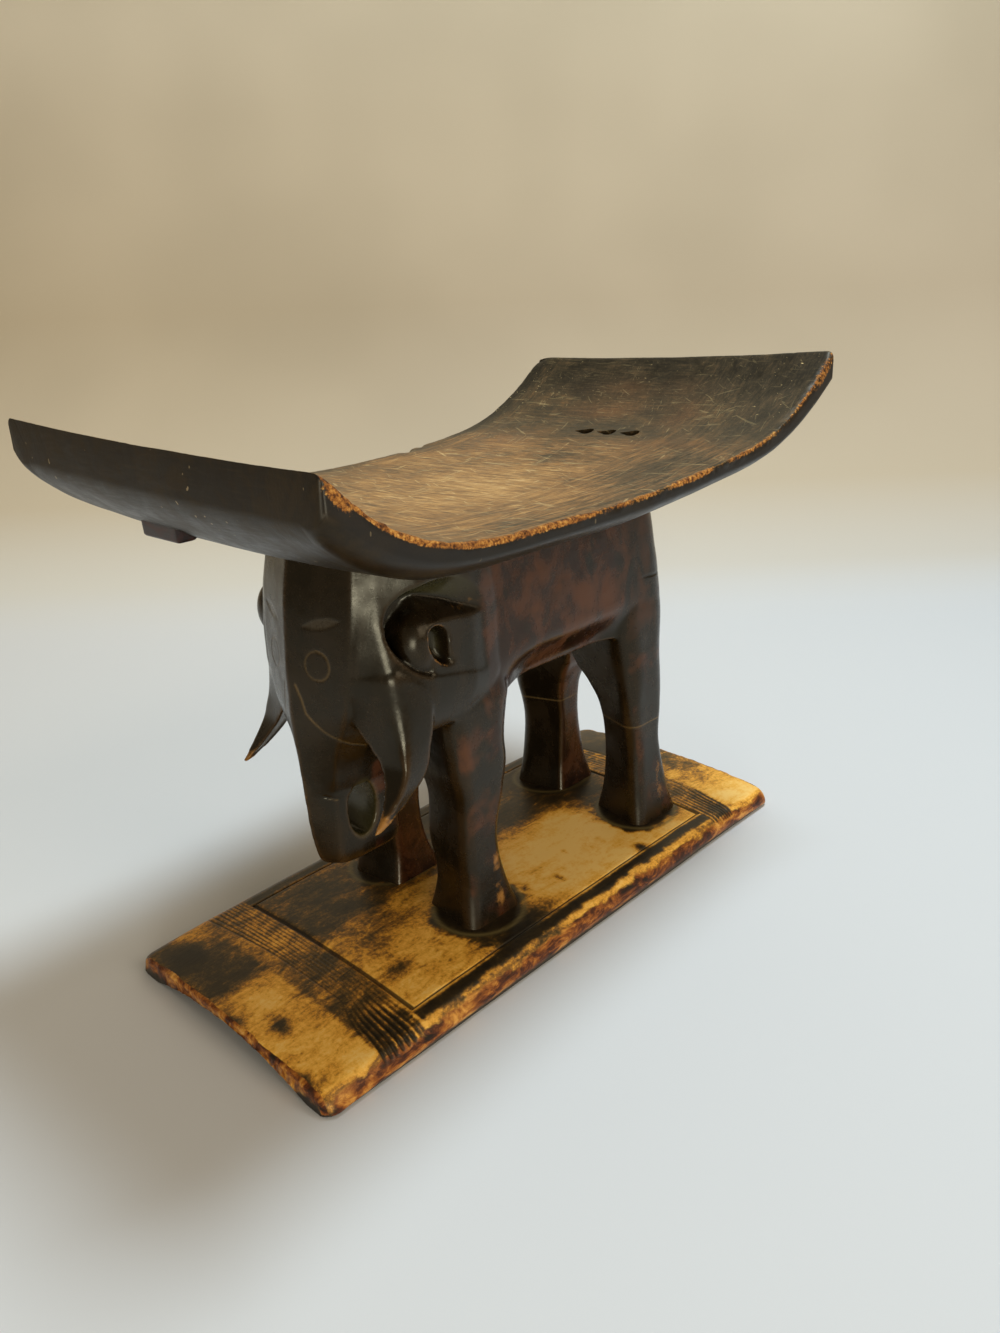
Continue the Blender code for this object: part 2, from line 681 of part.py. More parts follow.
def ear_oval(name, side, shares, tilt=0):
    """An egg-shaped part of an ear."""
    sizes = (EAR_OUT, EAR_LENGTH, EAR_HEIGHT)
    out, along, up = [size * share for size, share in zip(sizes, shares)]
    radii = [size * share for size, share in zip(sizes, shares[3:])]
    low = BELLY_HEIGHT + BODY_DEPTH * EAR_MIDDLE_SHARE - EAR_HEIGHT / 2
    centre = (side * out, NECK_PLACE - EAR_FROM_NECK + along, low + up)
    return oval(name, centre, radii, tilt)


def make_ear(name, side, tusk_room, carriers, material):
    """A rolled ear: a plate with a bulb in front, a scooped hollow above it and a round pit. It is
    let into the head and the torso that carry it."""
    middle_y = NECK_PLACE - EAR_FROM_NECK + EAR_LENGTH / 2
    middle_z = BELLY_HEIGHT + BODY_DEPTH * EAR_MIDDLE_SHARE
    radii = [EAR_FRONT_ROUND, EAR_REAR_ROUND, EAR_REAR_ROUND * 2, EAR_FRONT_ROUND]
    rings = []
    levels = ((EAR_ROOT, 0, EAR_UNDERCUT), (EAR_OUT - EAR_EDGE, 0, 0), (EAR_OUT, EAR_EDGE, 0))
    for out, inset, undercut in levels:
        corners = []
        for along, up in EAR_CORNER_SHARES:
            y = middle_y + (EAR_LENGTH - 2 * inset) * (along - 0.5) + undercut * (1 - along)
            corners.append((y, middle_z + (EAR_HEIGHT - 2 * inset) * (up - 0.5)))
        rings.append([(side * out, y, z) for y, z in rounded(corners, radii)])
    ear = loft(name, rings, material)
    room = grown(ear, CLEARANCE)
    for carrier in carriers:
        combine(carrier, room)
    combine(ear, ear_oval(name + "_bulb", side, EAR_BULB_SHARES), 'UNION')
    combine(ear, ear_oval(name + "_scoop", side, EAR_SCOOP_SHARES, EAR_SCOOP_TILT))
    combine(ear, ear_oval(name + "_pit", side, EAR_PIT_SHARES))
    combine(ear, tusk_room)


def make_stool():
    dark = (0.040, 0.024, 0.016)
    base = make_base()
    base_room = grown(base, CLEARANCE)
    seat, seat_room = make_seat()
    make_lug(seat_room, wood("dark_lug", dark, 0.4))
    torso = make_torso(seat_room, wood("polished_body", (0.085, 0.034, 0.015), 0.3))
    head, head_room = make_head(seat_room, wood("dark_head", dark, 0.3))
    make_trunk_curl(wood("dark_trunk", dark, 0.3))
    for side_name, side in (("right", 1), ("left", -1)):
        front_wood = wood(f"leg_wood_front_{side_name}", dark, 0.3)
        rear_wood = wood(f"leg_wood_rear_{side_name}", dark, 0.3)
        make_leg(f"leg_front_{side_name}", side, FRONT_FOOT_PLACE, FRONT_LEG_SHARES, base_room, front_wood)
        make_leg(f"leg_rear_{side_name}", side, REAR_FOOT_PLACE, REAR_LEG_SHARES, base_room, rear_wood)
        tusk_wood = wood(f"tusk_wood_{side_name}", dark, 0.25)
        tusk_room = make_tusk(f"tusk_{side_name}", side, head_room, tusk_wood)
        ear_wood = wood(f"ear_wood_{side_name}", dark, 0.3)
        make_ear(f"ear_{side_name}", side, tusk_room, (head, torso), ear_wood)


make_stool()
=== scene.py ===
"""The looks of an Ashanti elephant stool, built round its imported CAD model.

Metres, +Z up. X runs across the stool, Y along it, and the elephant faces -Y. The real stool is
carved from one block, so the elephant is one mesh here. The board under it and the seat on it have
meshes of their own, which meet the elephant where its feet and its back do.
"""
import math

import bmesh
import bpy
import numpy as np
from mathutils import Matrix, Vector


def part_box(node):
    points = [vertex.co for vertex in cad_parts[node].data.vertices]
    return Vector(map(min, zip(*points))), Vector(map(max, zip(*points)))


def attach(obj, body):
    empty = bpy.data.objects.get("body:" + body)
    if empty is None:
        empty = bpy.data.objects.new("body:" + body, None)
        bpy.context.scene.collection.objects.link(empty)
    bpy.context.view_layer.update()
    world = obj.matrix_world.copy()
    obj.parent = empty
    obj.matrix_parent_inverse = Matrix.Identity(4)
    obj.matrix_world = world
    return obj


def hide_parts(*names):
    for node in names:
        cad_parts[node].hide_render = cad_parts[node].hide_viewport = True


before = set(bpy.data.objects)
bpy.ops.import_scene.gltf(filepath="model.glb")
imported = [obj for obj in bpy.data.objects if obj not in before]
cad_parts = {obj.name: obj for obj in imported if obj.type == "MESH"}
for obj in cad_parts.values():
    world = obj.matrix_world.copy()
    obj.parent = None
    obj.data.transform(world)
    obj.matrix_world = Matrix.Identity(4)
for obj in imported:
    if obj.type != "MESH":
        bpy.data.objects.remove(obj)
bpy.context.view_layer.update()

MM = 0.001
DEGREE = math.pi / 180


# The paper sweep, the lamps and the camera
#
# The stool stands on a pale sheet of paper that lies flat in front and rises behind it in one soft
# curve. Cool daylight falls from above and a little behind, warm room light comes from the right, and
# a low window stands behind the camera, which looks down on the stool's near corner.

EYE = Vector((535.7, -527.8, 481.5)) * MM
YAW = 44.2502 * DEGREE
PITCH = 21.1867 * DEGREE
ROLL = -2.3797 * DEGREE
FOCAL_PIXELS = 1033.64
PICTURE_HEIGHT = 1333
SENSOR = 36
SWEEP_FRONT = -2.4
SWEEP_BEND = 0.62
SWEEP_RADIUS = 0.75
SWEEP_TOP = 3.2
SWEEP_HALF = 3.4
# The paper's colours from the floor up, at its left and at its right: painted light and shade on one sheet
LEFT_PAPER_AND_LIGHT = ((0.0, "eae9e8"), (0.03, "e6e0d4"), (0.12, "d4c4aa"), (0.42, "c6b294"), (0.9, "d6c6ac"))
RIGHT_PAPER_AND_LIGHT = ((0.0, "d2d8e0"), (0.03, "cbc8c2"), (0.12, "c4b8a4"), (0.42, "bdae98"), (0.9, "cabea8"))
LAMP_AIM = (0, 0, 0.2)
# Each lamp's name, place, width and height, watts and colour
LAMPS = (
    ("daylight", (0.24, 0.58, 2.5), (0.65, 0.65), 43, (0.80, 0.93, 1.0)),
    ("room_light", (2.3, 0.3, 1.6), (1.7, 1.7), 23, (1.0, 0.87, 0.70)),
    ("window", (1.62, -1.52, 0.22), (0.85, 0.38), 17, (0.98, 1.0, 0.90)),
)
ROOM_COLOUR = (0.84, 0.71, 0.52, 1)
ROOM_STRENGTH = 0.30


def tone(text):
    """Linear colour from the usual six hex digits."""
    parts = [int(text[i:i + 2], 16) / 255 for i in (0, 2, 4)]
    return [part / 12.92 if part <= 0.04045 else ((part + 0.055) / 1.055) ** 2.4 for part in parts]


def ease(value, low, high):
    """0 below low, 1 above high and a smooth rise between. Low may be the larger."""
    share = np.clip((value - low) / (high - low), 0, 1)
    return share * share * (3 - 2 * share)


class Finish:
    """A material in the making: its shader and short ways of adding nodes to it."""

    def __init__(self, name, specular=0.5, glint=(1, 1, 1)):
        self.material = bpy.data.materials.new(name)
        self.material.use_nodes = True
        self.tree = self.material.node_tree
        self.shader = self.tree.nodes["Principled BSDF"]
        self.shader.inputs["Specular IOR Level"].default_value = specular
        self.shader.inputs["Specular Tint"].default_value = (*glint, 1)
        self.place = self.node("ShaderNodeTexCoord").outputs["Object"]

    def node(self, kind, inputs=(), **settings):
        """A new node, its inputs given as values or as outputs to link."""
        made = self.tree.nodes.new(kind)
        for key, value in settings.items():
            setattr(made, key, value)
        for key, value in dict(inputs).items():
            if isinstance(value, bpy.types.NodeSocket):
                self.tree.links.new(value, made.inputs[key])
            else:
                made.inputs[key].default_value = value
        return made

    def set(self, name, value):
        """Give the shader a value, a colour or a linked output."""
        if isinstance(value, bpy.types.NodeSocket):
            self.tree.links.new(value, self.shader.inputs[name])
        else:
            self.shader.inputs[name].default_value = value

    def painted(self, name):
        """What the mesh has painted on its points under a name."""
        return self.node("ShaderNodeAttribute", attribute_name=name).outputs["Fac"]

    def speckle(self, size, stretch=(1, 1, 1), detail=3, rough=0.55, swirl=0, turn=0):
        """Cloudy noise from 0 to 1 with features about a size across, stretched, and turned about Z."""
        turning = {"Vector": self.place, "Rotation": (0, 0, turn)}
        turned = self.node("ShaderNodeMapping", turning).outputs[0]
        shrinking = {"Vector": turned, "Scale": [1 / share for share in stretch]}
        moved = self.node("ShaderNodeMapping", shrinking).outputs[0]
        values = {"Vector": moved, "Scale": 1 / size, "Detail": detail, "Roughness": rough,
                  "Distortion": swirl}
        return self.node("ShaderNodeTexNoise", values).outputs["Fac"]

    def sum(self, a, b, weight=1):
        """a plus b times a weight."""
        scaled = self.node("ShaderNodeMath", {0: b, 1: weight}, operation='MULTIPLY').outputs[0]
        return self.node("ShaderNodeMath", {0: a, 1: scaled}, operation='ADD').outputs[0]

    def times(self, a, b):
        """a times b."""
        return self.node("ShaderNodeMath", {0: a, 1: b}, operation='MULTIPLY').outputs[0]

    def ragged(self, value, noise, weight):
        """A value roughened by a weight times noise, which is 0.5 in its middle."""
        return self.sum(value, self.sum(noise, -0.5), weight)

    def rise(self, value, low, high, start=0, end=1):
        """A smooth step from start to end as the value goes from low to high."""
        values = {"Value": value, "From Min": low, "From Max": high, "To Min": start, "To Max": end}
        return self.node("ShaderNodeMapRange", values, interpolation_type='SMOOTHSTEP').outputs[0]

    def blend(self, share, a, b):
        """Colour a going over to colour b by a share. A colour is hex digits or an output."""
        made = self.node("ShaderNodeMix", data_type='RGBA')
        for socket, value in ((made.inputs[0], share), (made.inputs[6], a), (made.inputs[7], b)):
            if isinstance(value, str):
                socket.default_value = (*tone(value), 1)
            elif isinstance(value, bpy.types.NodeSocket):
                self.tree.links.new(value, socket)
            else:
                socket.default_value = value
        return made.outputs[2]

    def coat(self, base, name, share, colour):
        """A base gone over with a colour where the mesh is painted, by a share at its most."""
        return self.blend(self.times(self.painted(name), share), base, colour)

    def ramp(self, value, stops):
        """Colours along a value: pairs of place and hex digits."""
        made = self.node("ShaderNodeValToRGB", {"Fac": value})
        band = made.color_ramp
        while len(band.elements) < len(stops):
            band.elements.new(0.5)
        for element, (place, colour) in zip(band.elements, stops):
            element.position = place
            element.color = (*tone(colour), 1)
        return made.outputs[0]

    def relief(self, height, depth, strength):
        """Small relief from a height of 0 to 1, a depth in metres at its most."""
        values = {"Height": height, "Distance": depth, "Strength": strength}
        self.set("Normal", self.node("ShaderNodeBump", values).outputs[0])


def show(name, data):
    """An object in the scene that holds a mesh, a lamp or a camera."""
    thing = bpy.data.objects.new(name, data)
    bpy.context.scene.collection.objects.link(thing)
    return thing


def make_lamp(name, place, sides, watts, colour):
    """A soft oblong lamp that faces the stool."""
    light = bpy.data.lights.new(name, 'AREA')
    light.shape = 'RECTANGLE'
    light.size, light.size_y = sides
    light.energy = watts
    light.color = colour
    holder = show(name, light)
    holder.location = place
    holder.rotation_euler = (Vector(LAMP_AIM) - Vector(place)).to_track_quat('-Z', 'Y').to_euler()


def make_sweep():
    """The paper: flat, then a quarter turn, then straight up."""
    profile = [(SWEEP_FRONT + (SWEEP_BEND - SWEEP_FRONT) * step / 8, 0) for step in range(9)]
    for step in range(1, 17):
        angle = math.pi / 2 * step / 16
        profile.append((SWEEP_BEND + SWEEP_RADIUS * math.sin(angle), SWEEP_RADIUS * (1 - math.cos(angle))))
    profile.append((SWEEP_BEND + SWEEP_RADIUS, SWEEP_TOP))
    verts = [(x, y, z) for y, z in profile for x in (-SWEEP_HALF, SWEEP_HALF)]
    faces = [(2 * i, 2 * i + 1, 2 * i + 3, 2 * i + 2) for i in range(len(profile) - 1)]
    mesh = bpy.data.meshes.new("paper_sweep")
    mesh.from_pydata(verts, [], faces)
    mesh.shade_smooth()
    paper = show("paper_sweep", mesh)
    paper.rotation_euler.z = YAW
    look = Finish("pale_paper", 0.15)
    parts = look.node("ShaderNodeSeparateXYZ", {0: look.place}).outputs
    left = look.ramp(parts["Z"], LEFT_PAPER_AND_LIGHT)
    right = look.ramp(parts["Z"], RIGHT_PAPER_AND_LIGHT)
    # Painted light and shade: paler on the floor and at the left, darker and warmer up the wall.
    paper_tone_and_light = look.blend(look.rise(parts["X"], -1.2, 1.2), left, right)
    # Soft blotches of painted shade darken the paper up the wall.
    shade_blotches = look.rise(look.speckle(0.55, detail=2), 0.3, 0.7)
    painted_wall_shade = look.times(look.rise(parts["Z"], 0.05, 0.4), shade_blotches)
    look.set("Base Color", look.blend(look.times(painted_wall_shade, 0.22), paper_tone_and_light, "8e8068"))
    look.set("Roughness", 0.9)
    mesh.materials.append(look.material)


def make_camera():
    """The camera of the photograph: its place, its turn, its lens."""
    ahead = Vector((-math.sin(YAW) * math.cos(PITCH), math.cos(YAW) * math.cos(PITCH), -math.sin(PITCH)))
    level = Vector((math.cos(YAW), math.sin(YAW), 0))
    above = level.cross(ahead)
    right = level * math.cos(ROLL) + above * math.sin(ROLL)
    up = above * math.cos(ROLL) - level * math.sin(ROLL)
    turn = Matrix((right, up, -ahead)).transposed().to_4x4()
    data = bpy.data.cameras.new("camera")
    data.sensor_width = SENSOR
    data.lens = FOCAL_PIXELS / PICTURE_HEIGHT * SENSOR
    data.clip_start = 0.01
    camera = show("camera", data)
    camera.matrix_world = Matrix.Translation(EYE) @ turn
    bpy.context.scene.camera = camera


make_sweep()
make_camera()
for row in LAMPS:
    make_lamp(*row)
world = bpy.data.worlds.new("room")
world.use_nodes = True
world.node_tree.nodes["Background"].inputs["Color"].default_value = ROOM_COLOUR
world.node_tree.nodes["Background"].inputs["Strength"].default_value = ROOM_STRENGTH
bpy.context.scene.world = world
bpy.context.scene.view_settings.view_transform = 'Standard'


# The base board
#
# The board is part of the same block: domed on top, hollowed underneath, about two fingers thick.
# A knife-cut line frames the field where the feet stand, and bands of cut lines cross both ends.
# Hands have worn the black off in places down to golden wood, most of all between the feet.

BOARD_HALF, BOARD_END, BOARD_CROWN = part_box("base")[1]
BOARD_END_FALL = 4.0 * MM
BOARD_DOME = 4.6 * MM
BOARD_ROUND = 13 * MM
BOARD_SIDE_DROP = 12 * MM
BOARD_CHAMFER = 3 * MM
BOARD_STRIP = 13.5 * MM
BOARD_CORNER = 9 * MM
BOARD_VAULT = 13.5 * MM
FRAME_X = 93 * MM
FRAME_Y = 171 * MM
# The feet's middles, in millimetres
FOOT_SPOTS = ((48, -61), (-53, -61), (48, 140), (-53, 140))

# Cut lines across the front end: y where each crosses the board at x -100, -30, 50 and 114,
# then how deep it is in the middle and at the near side. All in millimetres.
FRONT_LINES = (
    (-175.5, -175.6, -175.8, -177.5, 0.25, 0.40),
    (-178.6, -178.6, -178.8, -180.8, 0.30, 0.60),
    (-181.6, -181.7, -182.2, -186.3, 0.35, 1.10),
    (-184.8, -184.7, -185.6, -191.5, 0.35, 1.20),
    (-188.0, -187.8, -188.9, -196.8, 0.35, 1.30),
    (-191.3, -190.9, -191.8, -202.6, 0.35, 1.40),
    (-195.0, -193.8, -194.4, -207.0, 0.35, 1.20),
    (-199.5, -196.6, -196.5, -212.0, 0.40, 0.90),
    (-203.6, -199.2, -198.6, -216.0, 0.50, 0.30),
)
REAR_LINES = (
    (178.0, 178.0, 177.0, 172.0, 0.30, 0.40),
    (182.0, 182.0, 181.0, 176.5, 0.30, 0.50),
    (186.0, 186.0, 185.2, 181.0, 0.35, 0.55),
    (190.0, 190.0, 189.5, 185.0, 0.35, 0.60),
    (194.0, 194.2, 194.0, 188.5, 0.35, 0.70),
    (198.5, 199.0, 199.0, 191.5, 0.45, 0.90),
    (203.5, 204.5, 205.0, 194.5, 0.55, 1.00),
    (208.0, 209.5, 211.0, 198.0, 0.45, 0.80),
)
LINE_PLACES = (-100, -30, 50, 114)
# Where the board is darker or paler than its middle brown: centre and half-sizes in millimetres, and
# by how much
BOARD_SHADES = (
    (-76, -240, 24, 16, 0.42), (-28, -236, 22, 22, 0.24), (10, -258, 9, 6, 0.5), (41, -240, 15, 7, 0.40),
    (90, -262, 12, 7, 0.6), (60, -262, 11, 4, 0.5), (70, -236, 40, 14, -0.22), (5, -232, 14, 12, -0.2),
    (-98, -222, 20, 16, -0.25), (-30, -138, 62, 38, 0.20), (75, -140, 34, 34, -0.12), (57, -150, 9, 16, 0.35),
    (84, -62, 19, 34, 0.75), (50, 40, 60, 72, -0.30), (28, 82, 34, 34, -0.22), (86, 140, 12, 50, -0.12),
    (-20, 30, 24, 90, 0.20), (-2, 130, 34, 30, 0.55), (-65, 40, 40, 70, 0.16), (68, 10, 5, 3, 0.5),
    (47, 42, 5, 3, 0.45), (90, 91, 7, 5, 0.55), (58, -20, 4, 3, 0.4), (96, 232, 30, 28, -0.24),
    (44, 232, 28, 22, 0.12), (-40, 236, 60, 34, 0.40), (-80, 60, 14, 90, 0.2))


def drift(points, size, seed, layers=1):
    """A smooth random field from about -1 to 1, its features a size apart. Size may be three."""
    table = np.random.default_rng(seed).uniform(-1, 1, (64, 64, 64))
    total = np.zeros(len(points))
    for layer in range(layers):
        cells = points / (np.array(size) / 2 ** layer) + 7.3 * layer
        low = np.floor(cells).astype(int)
        part = cells - low
        part = part * part * (3 - 2 * part)
        for corner in np.ndindex(2, 2, 2):
            weight = np.prod(np.where(corner, part, 1 - part), axis=1)
            i, j, k = ((low + corner) % 64).T
            total += weight * table[i, j, k] / 2 ** layer
    return total


def spread(stops):
    """Places from the first stop to the last, each stretch with its own spacing."""
    places = [stops[0][0]]
    for (start, spacing), (end, _) in zip(stops, stops[1:]):
        count = max(1, round((end - start) / spacing))
        places += [start + (end - start) * step / count for step in range(1, count + 1)]
    return np.array(places)


def wrap(name, rows, top_count):
    """A closed mesh from rows of rings. A ring is a top of top_count points, a side, an underside
    of as many points and the other side. The ends close from top to underside."""
    rings, count, _ = rows.shape
    index = np.arange(rings * count).reshape(rings, count)
    onward = np.roll(index, -1, axis=1)
    faces = np.stack([index[:-1], onward[:-1], onward[1:], index[1:]], axis=-1).reshape(-1, 4)
    side = (count - 2 * top_count) // 2
    faces = faces.tolist()
    for ring, ahead in ((index[0], True), (index[-1], False)):
        top = ring[:top_count]
        under = ring[top_count + side:2 * top_count + side][::-1]
        caps = [[top[i], top[i + 1], under[i + 1], under[i]] for i in range(top_count - 1)]
        caps.append([top[-1], *ring[top_count:top_count + side], under[-1]])
        caps.append([*ring[2 * top_count + side:], top[0], under[0]])
        faces += [[int(v) for v in (reversed(cap) if ahead else cap)] for cap in caps]
    mesh = bpy.data.meshes.new(name)
    mesh.from_pydata(rows.reshape(-1, 3).tolist(), [], faces)
    form = bmesh.new()
    form.from_mesh(mesh)
    bmesh.ops.recalc_face_normals(form, faces=form.faces)
    form.to_mesh(mesh)
    form.free()
    mesh.shade_smooth()
    return mesh


def points_of(mesh):
    """The places and normals of a mesh's points."""
    found = []
    for kind, source in (("co", mesh.vertices), ("vector", mesh.vertex_normals)):
        values = np.empty(len(mesh.vertices) * 3)
        source.foreach_get(kind, values)
        found.append(values.reshape(-1, 3))
    return found


def move_points(mesh, places):
    """Put a mesh's points in new places."""
    mesh.vertices.foreach_set("co", places.ravel())
    mesh.update()


def paint(mesh, name, values):
    """Keep a value for each point, from 0 to 1, for the finish to use."""
    layer = mesh.attributes.new(name, 'FLOAT', 'POINT')
    layer.data.foreach_set("value", np.clip(values, 0, 1).astype(np.float32))


def spot(x, y, cx, cy, rx, ry):
    """1 in the middle of a soft spot, 0 well away from it. All in millimetres."""
    return np.exp(-((x - cx) / rx) ** 2 - ((y - cy) / ry) ** 2)


def spots(x, y, table):
    """The sum of soft spots, each row of the table a spot and how strong it is."""
    return sum(share * spot(x, y, *place) for *place, share in table)


def add_piece(name, mesh, slot, *nodes):
    """Show a mesh in place of CAD nodes, moving with the stool."""
    piece = show(name, mesh)
    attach(piece, "root")
    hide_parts(*nodes)


def board_top(x, y):
    """How high the domed top lies."""
    along = np.abs(y) / BOARD_END
    across = x / BOARD_HALF
    return BOARD_CROWN - BOARD_END_FALL * along ** 4 - BOARD_DOME * across ** 2 * (1 + along ** 2 / 2)


def board_rows():
    """The board's rings from front to rear, fine where lines are cut."""
    ends = [0, 0.25 * MM, 0.7 * MM, 1.5 * MM]
    inner = spread([(-BOARD_END + 2.6 * MM, 1.9 * MM), (-0.218, 0.75 * MM), (-0.169, 2 * MM),
                    (0.168, 0.8 * MM), (0.213, 1.9 * MM), (BOARD_END - 2.6 * MM, 0)])
    rows = np.concatenate([[-BOARD_END + end for end in ends], inner,
                           [BOARD_END - end for end in reversed(ends)]])
    shares = spread([(-1, 0.022), (-0.94, 0.006), (-0.90, 0.022), (0.90, 0.006), (0.94, 0.02), (1, 0)])
    turns = np.array([math.pi / 2 * step / 9 for step in range(1, 10)])
    rings = []
    for y in rows:
        into = min(max(abs(y) - BOARD_END + BOARD_CORNER, 0) / BOARD_CORNER, 0.97)
        half = BOARD_HALF - BOARD_CORNER * (1 - math.sqrt(1 - into ** 2))
        flat = half - BOARD_ROUND
        x = shares * flat
        edge = board_top(flat, y)
        end_round = 1.6 * MM * (1 - min((BOARD_END - abs(y)) / (2.2 * MM), 1)) ** 2
        side_x = np.append(flat + BOARD_ROUND * np.sin(turns), half - BOARD_CHAMFER)
        side_z = np.append(edge - BOARD_SIDE_DROP * (1 - np.cos(turns)), 0.0)
        vault_x = shares * (half - BOARD_CHAMFER - BOARD_STRIP)
        vault_z = BOARD_VAULT * (1 - (vault_x / vault_x[-1]) ** 2)
        top = np.stack([x, board_top(x, y) - end_round], 1)
        right = np.stack([side_x, np.maximum(side_z - end_round, 0)], 1)
        under = np.stack([vault_x, vault_z], 1)[::-1]
        left = right[::-1] * (-1, 1)
        ring = np.concatenate([top, right, under, left])
        rings.append(np.insert(ring, 1, y, axis=1))
    return np.array(rings), len(shares)


def line_cuts(x, y, lines):
    """How deep the cut lines of one end go at each place, in metres."""
    depth = np.zeros(len(x))
    near = ease(x, 52, 100)
    for *places, middle, side in lines:
        course = np.interp(x, LINE_PLACES, places)
        bent = places[3] - places[2]
        course = course + near * (1 - near) * bent * 0.5
        deep = middle + (side - middle) * near
        wide = 0.75 + 0.9 * near
        depth = np.maximum(depth, deep * np.exp(-((y - course) / wide) ** 2))
    return depth * ease(np.abs(x), 119, 112) * MM


def make_board():
    """The board: its lines cut, its rims crumbled, and what is worn, dark or dusty on it painted."""
    rows, top_count = board_rows()
    mesh = wrap("base_board", rows, top_count)
    places, normals = points_of(mesh)
    x, y, z = places.T / MM
    on_top = ease(normals[:, 2], 0.25, 0.7) * ease(z, 10, 15)
    cuts = line_cuts(x, y, FRONT_LINES) + line_cuts(x, y, REAR_LINES)
    wobble = drift(places, 30 * MM, 3) * 0.35
    long_cut = np.exp(-((np.abs(x) - FRAME_X / MM + wobble) / 0.75) ** 2) * ease(np.abs(y), 172, 170.5)
    end_cut = np.exp(-((np.abs(y) - FRAME_Y / MM - wobble) / 1.5) ** 2) * ease(np.abs(x), 94.5, 93)
    frame_cut = np.maximum(long_cut, end_cut * 1.7) * MM
    dished = 0.4 * MM * (drift(places, 55 * MM, 5) + 0.5 * drift(places, 22 * MM, 6))
    rim = ease(np.abs(x), 112, 121) * ease(z, 2, 6)
    end_rim = ease(np.abs(y), BOARD_END / MM - 4.5, BOARD_END / MM - 0.5) * ease(z, 2, 6)
    crumbs = drift(places, 4.5 * MM, 8, 2) * 0.55 + drift(places, 11 * MM, 9) * 0.7
    lost = (rim * 0.55 + end_rim * 0.9) * (0.35 + crumbs) * MM
    sunk = cuts + frame_cut
    moved = places + normals * ((dished * 0.6 - np.maximum(lost, -0.25 * MM))[:, None])
    moved[:, 2] -= sunk * on_top
    moved[:, 2] = np.maximum(moved[:, 2], 0)
    moved[:, 1] = np.clip(moved[:, 1], -BOARD_END, BOARD_END)
    move_points(mesh, moved)

    rag = drift(places, 24 * MM, 11, 3)
    fine = drift(places, 7 * MM, 12, 2)
    loose = rag + 0.6 * fine
    dark = 0.30 + 0.22 * ease(x, 5, -30) + 0.16 * ease(np.abs(x), 104, 111)
    inside = (np.abs(x) < 95) * (np.abs(y) < 172)
    dark = dark + spots(x, y, BOARD_SHADES) * (1 + 0.45 * loose)
    strip = ease(np.abs(x), 94, 97) * ease(np.abs(x) + 3.4 * loose, 110, 101) * ease(np.abs(y), 208, 190)
    dark = np.maximum(dark, strip * (0.86 + 0.10 * loose))
    dark = np.maximum(dark, 0.62 * ease(x, -106, -112))
    for foot_x, foot_y in FOOT_SPOTS:
        around = np.hypot(x - foot_x, (y - foot_y) / 1.12)
        dark = np.maximum(dark, ease(around + 6 * loose, 42, 28) * 0.9 * inside)
    band = ease(y, -214, -209) * ease(y, -172, -174) + ease(y, 172, 174) * ease(y, 210, 205)
    proud = ease(cuts / MM, 0.30, 0.05) * (0.85 + 0.3 * rag)
    proud = proud * (0.25 + 0.75 * ease(x, 58, 96) + 0.4 * ease(x, 10, -40))
    dark = dark * (1 - band) + band * (0.60 - 0.34 * np.clip(proud, 0, 1))
    dark = np.where(z < 9, np.maximum(dark, 0.55), dark)
    dark = np.where(normals[:, 2] < -0.2, 0.9, dark)
    paint(mesh, "dark", dark)
    near_edge = ease(np.abs(x) + 2.4 * loose, 104, 117) * ease(z, 1, 4)
    near_end = ease(np.abs(y) + 0.8 * loose, BOARD_END / MM - 4, BOARD_END / MM - 1) * ease(z, 1, 5)
    paint(mesh, "frayed", np.maximum(near_edge, near_end))
    paint(mesh, "cut", sunk * on_top / MM)
    ring = np.zeros(len(x))
    for foot_x, foot_y in FOOT_SPOTS:
        around = np.hypot((x - foot_x) / 34, (y - foot_y) / 36)
        ring = np.maximum(ring, np.exp(-((around - 1.0) / 0.05) ** 2))
    paint(mesh, "dusty", ring * on_top)

    look = Finish("worn_base_wood", 0.35, (1.0, 0.94, 0.80))
    cloud = look.speckle(0.028, (1, 1.4, 1), 5, 0.65, 0.4)
    grit = look.speckle(0.0030, detail=5, rough=0.75)
    grain = look.speckle(0.0016, (1, 22, 1), 3, 0.6)
    smear = look.speckle(0.010, (1, 2.4, 1), 5, 0.7, 0.7)
    depth = look.painted("dark")
    for noise, weight in ((smear, 0.85), (cloud, 0.55), (grit, 0.62), (grain, 0.16)):
        depth = look.ragged(depth, noise, weight)
    base = look.ramp(depth, ((0.0, "ffd27a"), (0.20, "f8bc50"), (0.34, "dd9c36"), (0.46, "966628"),
                             (0.57, "5a431f"), (0.70, "362a17"), (1.0, "1f1810")))
    rust = look.ramp(look.sum(look.sum(smear, cloud), -0.5),
                     ((0.30, "1c0f08"), (0.43, "55270f"), (0.53, "95541c"), (0.66, "cf8f3c"),
                      (0.8, "e4b25e")))
    fray = look.rise(look.ragged(look.painted("frayed"), smear, 0.8), 0.38, 0.62)
    base = look.blend(fray, base, rust)
    base = look.coat(base, "dusty", 0.75, "77683f")
    groove = look.rise(look.painted("cut"), 0.18, 0.75)
    base = look.blend(look.times(groove, 0.85), base, "191309")
    look.set("Base Color", base)
    look.set("Roughness", look.rise(depth, 0.2, 0.7, 0.50, 0.36))
    look.relief(look.sum(look.times(grain, 0.5), grit, 0.6), 0.35 * MM, 0.55)
    mesh.materials.append(look.material)
    add_piece("base_board", mesh, "worn_base", "base")


make_board()


# The elephant
#
# Body, head, trunk, tusks, ears and legs were carved in one piece with the board and the seat, with
# an adze and then a knife, and rubbed to a dark waxy gloss. Each member is drawn as the carver blocked
# it out, all are grown together into one skin, and then the face is cut into that skin.

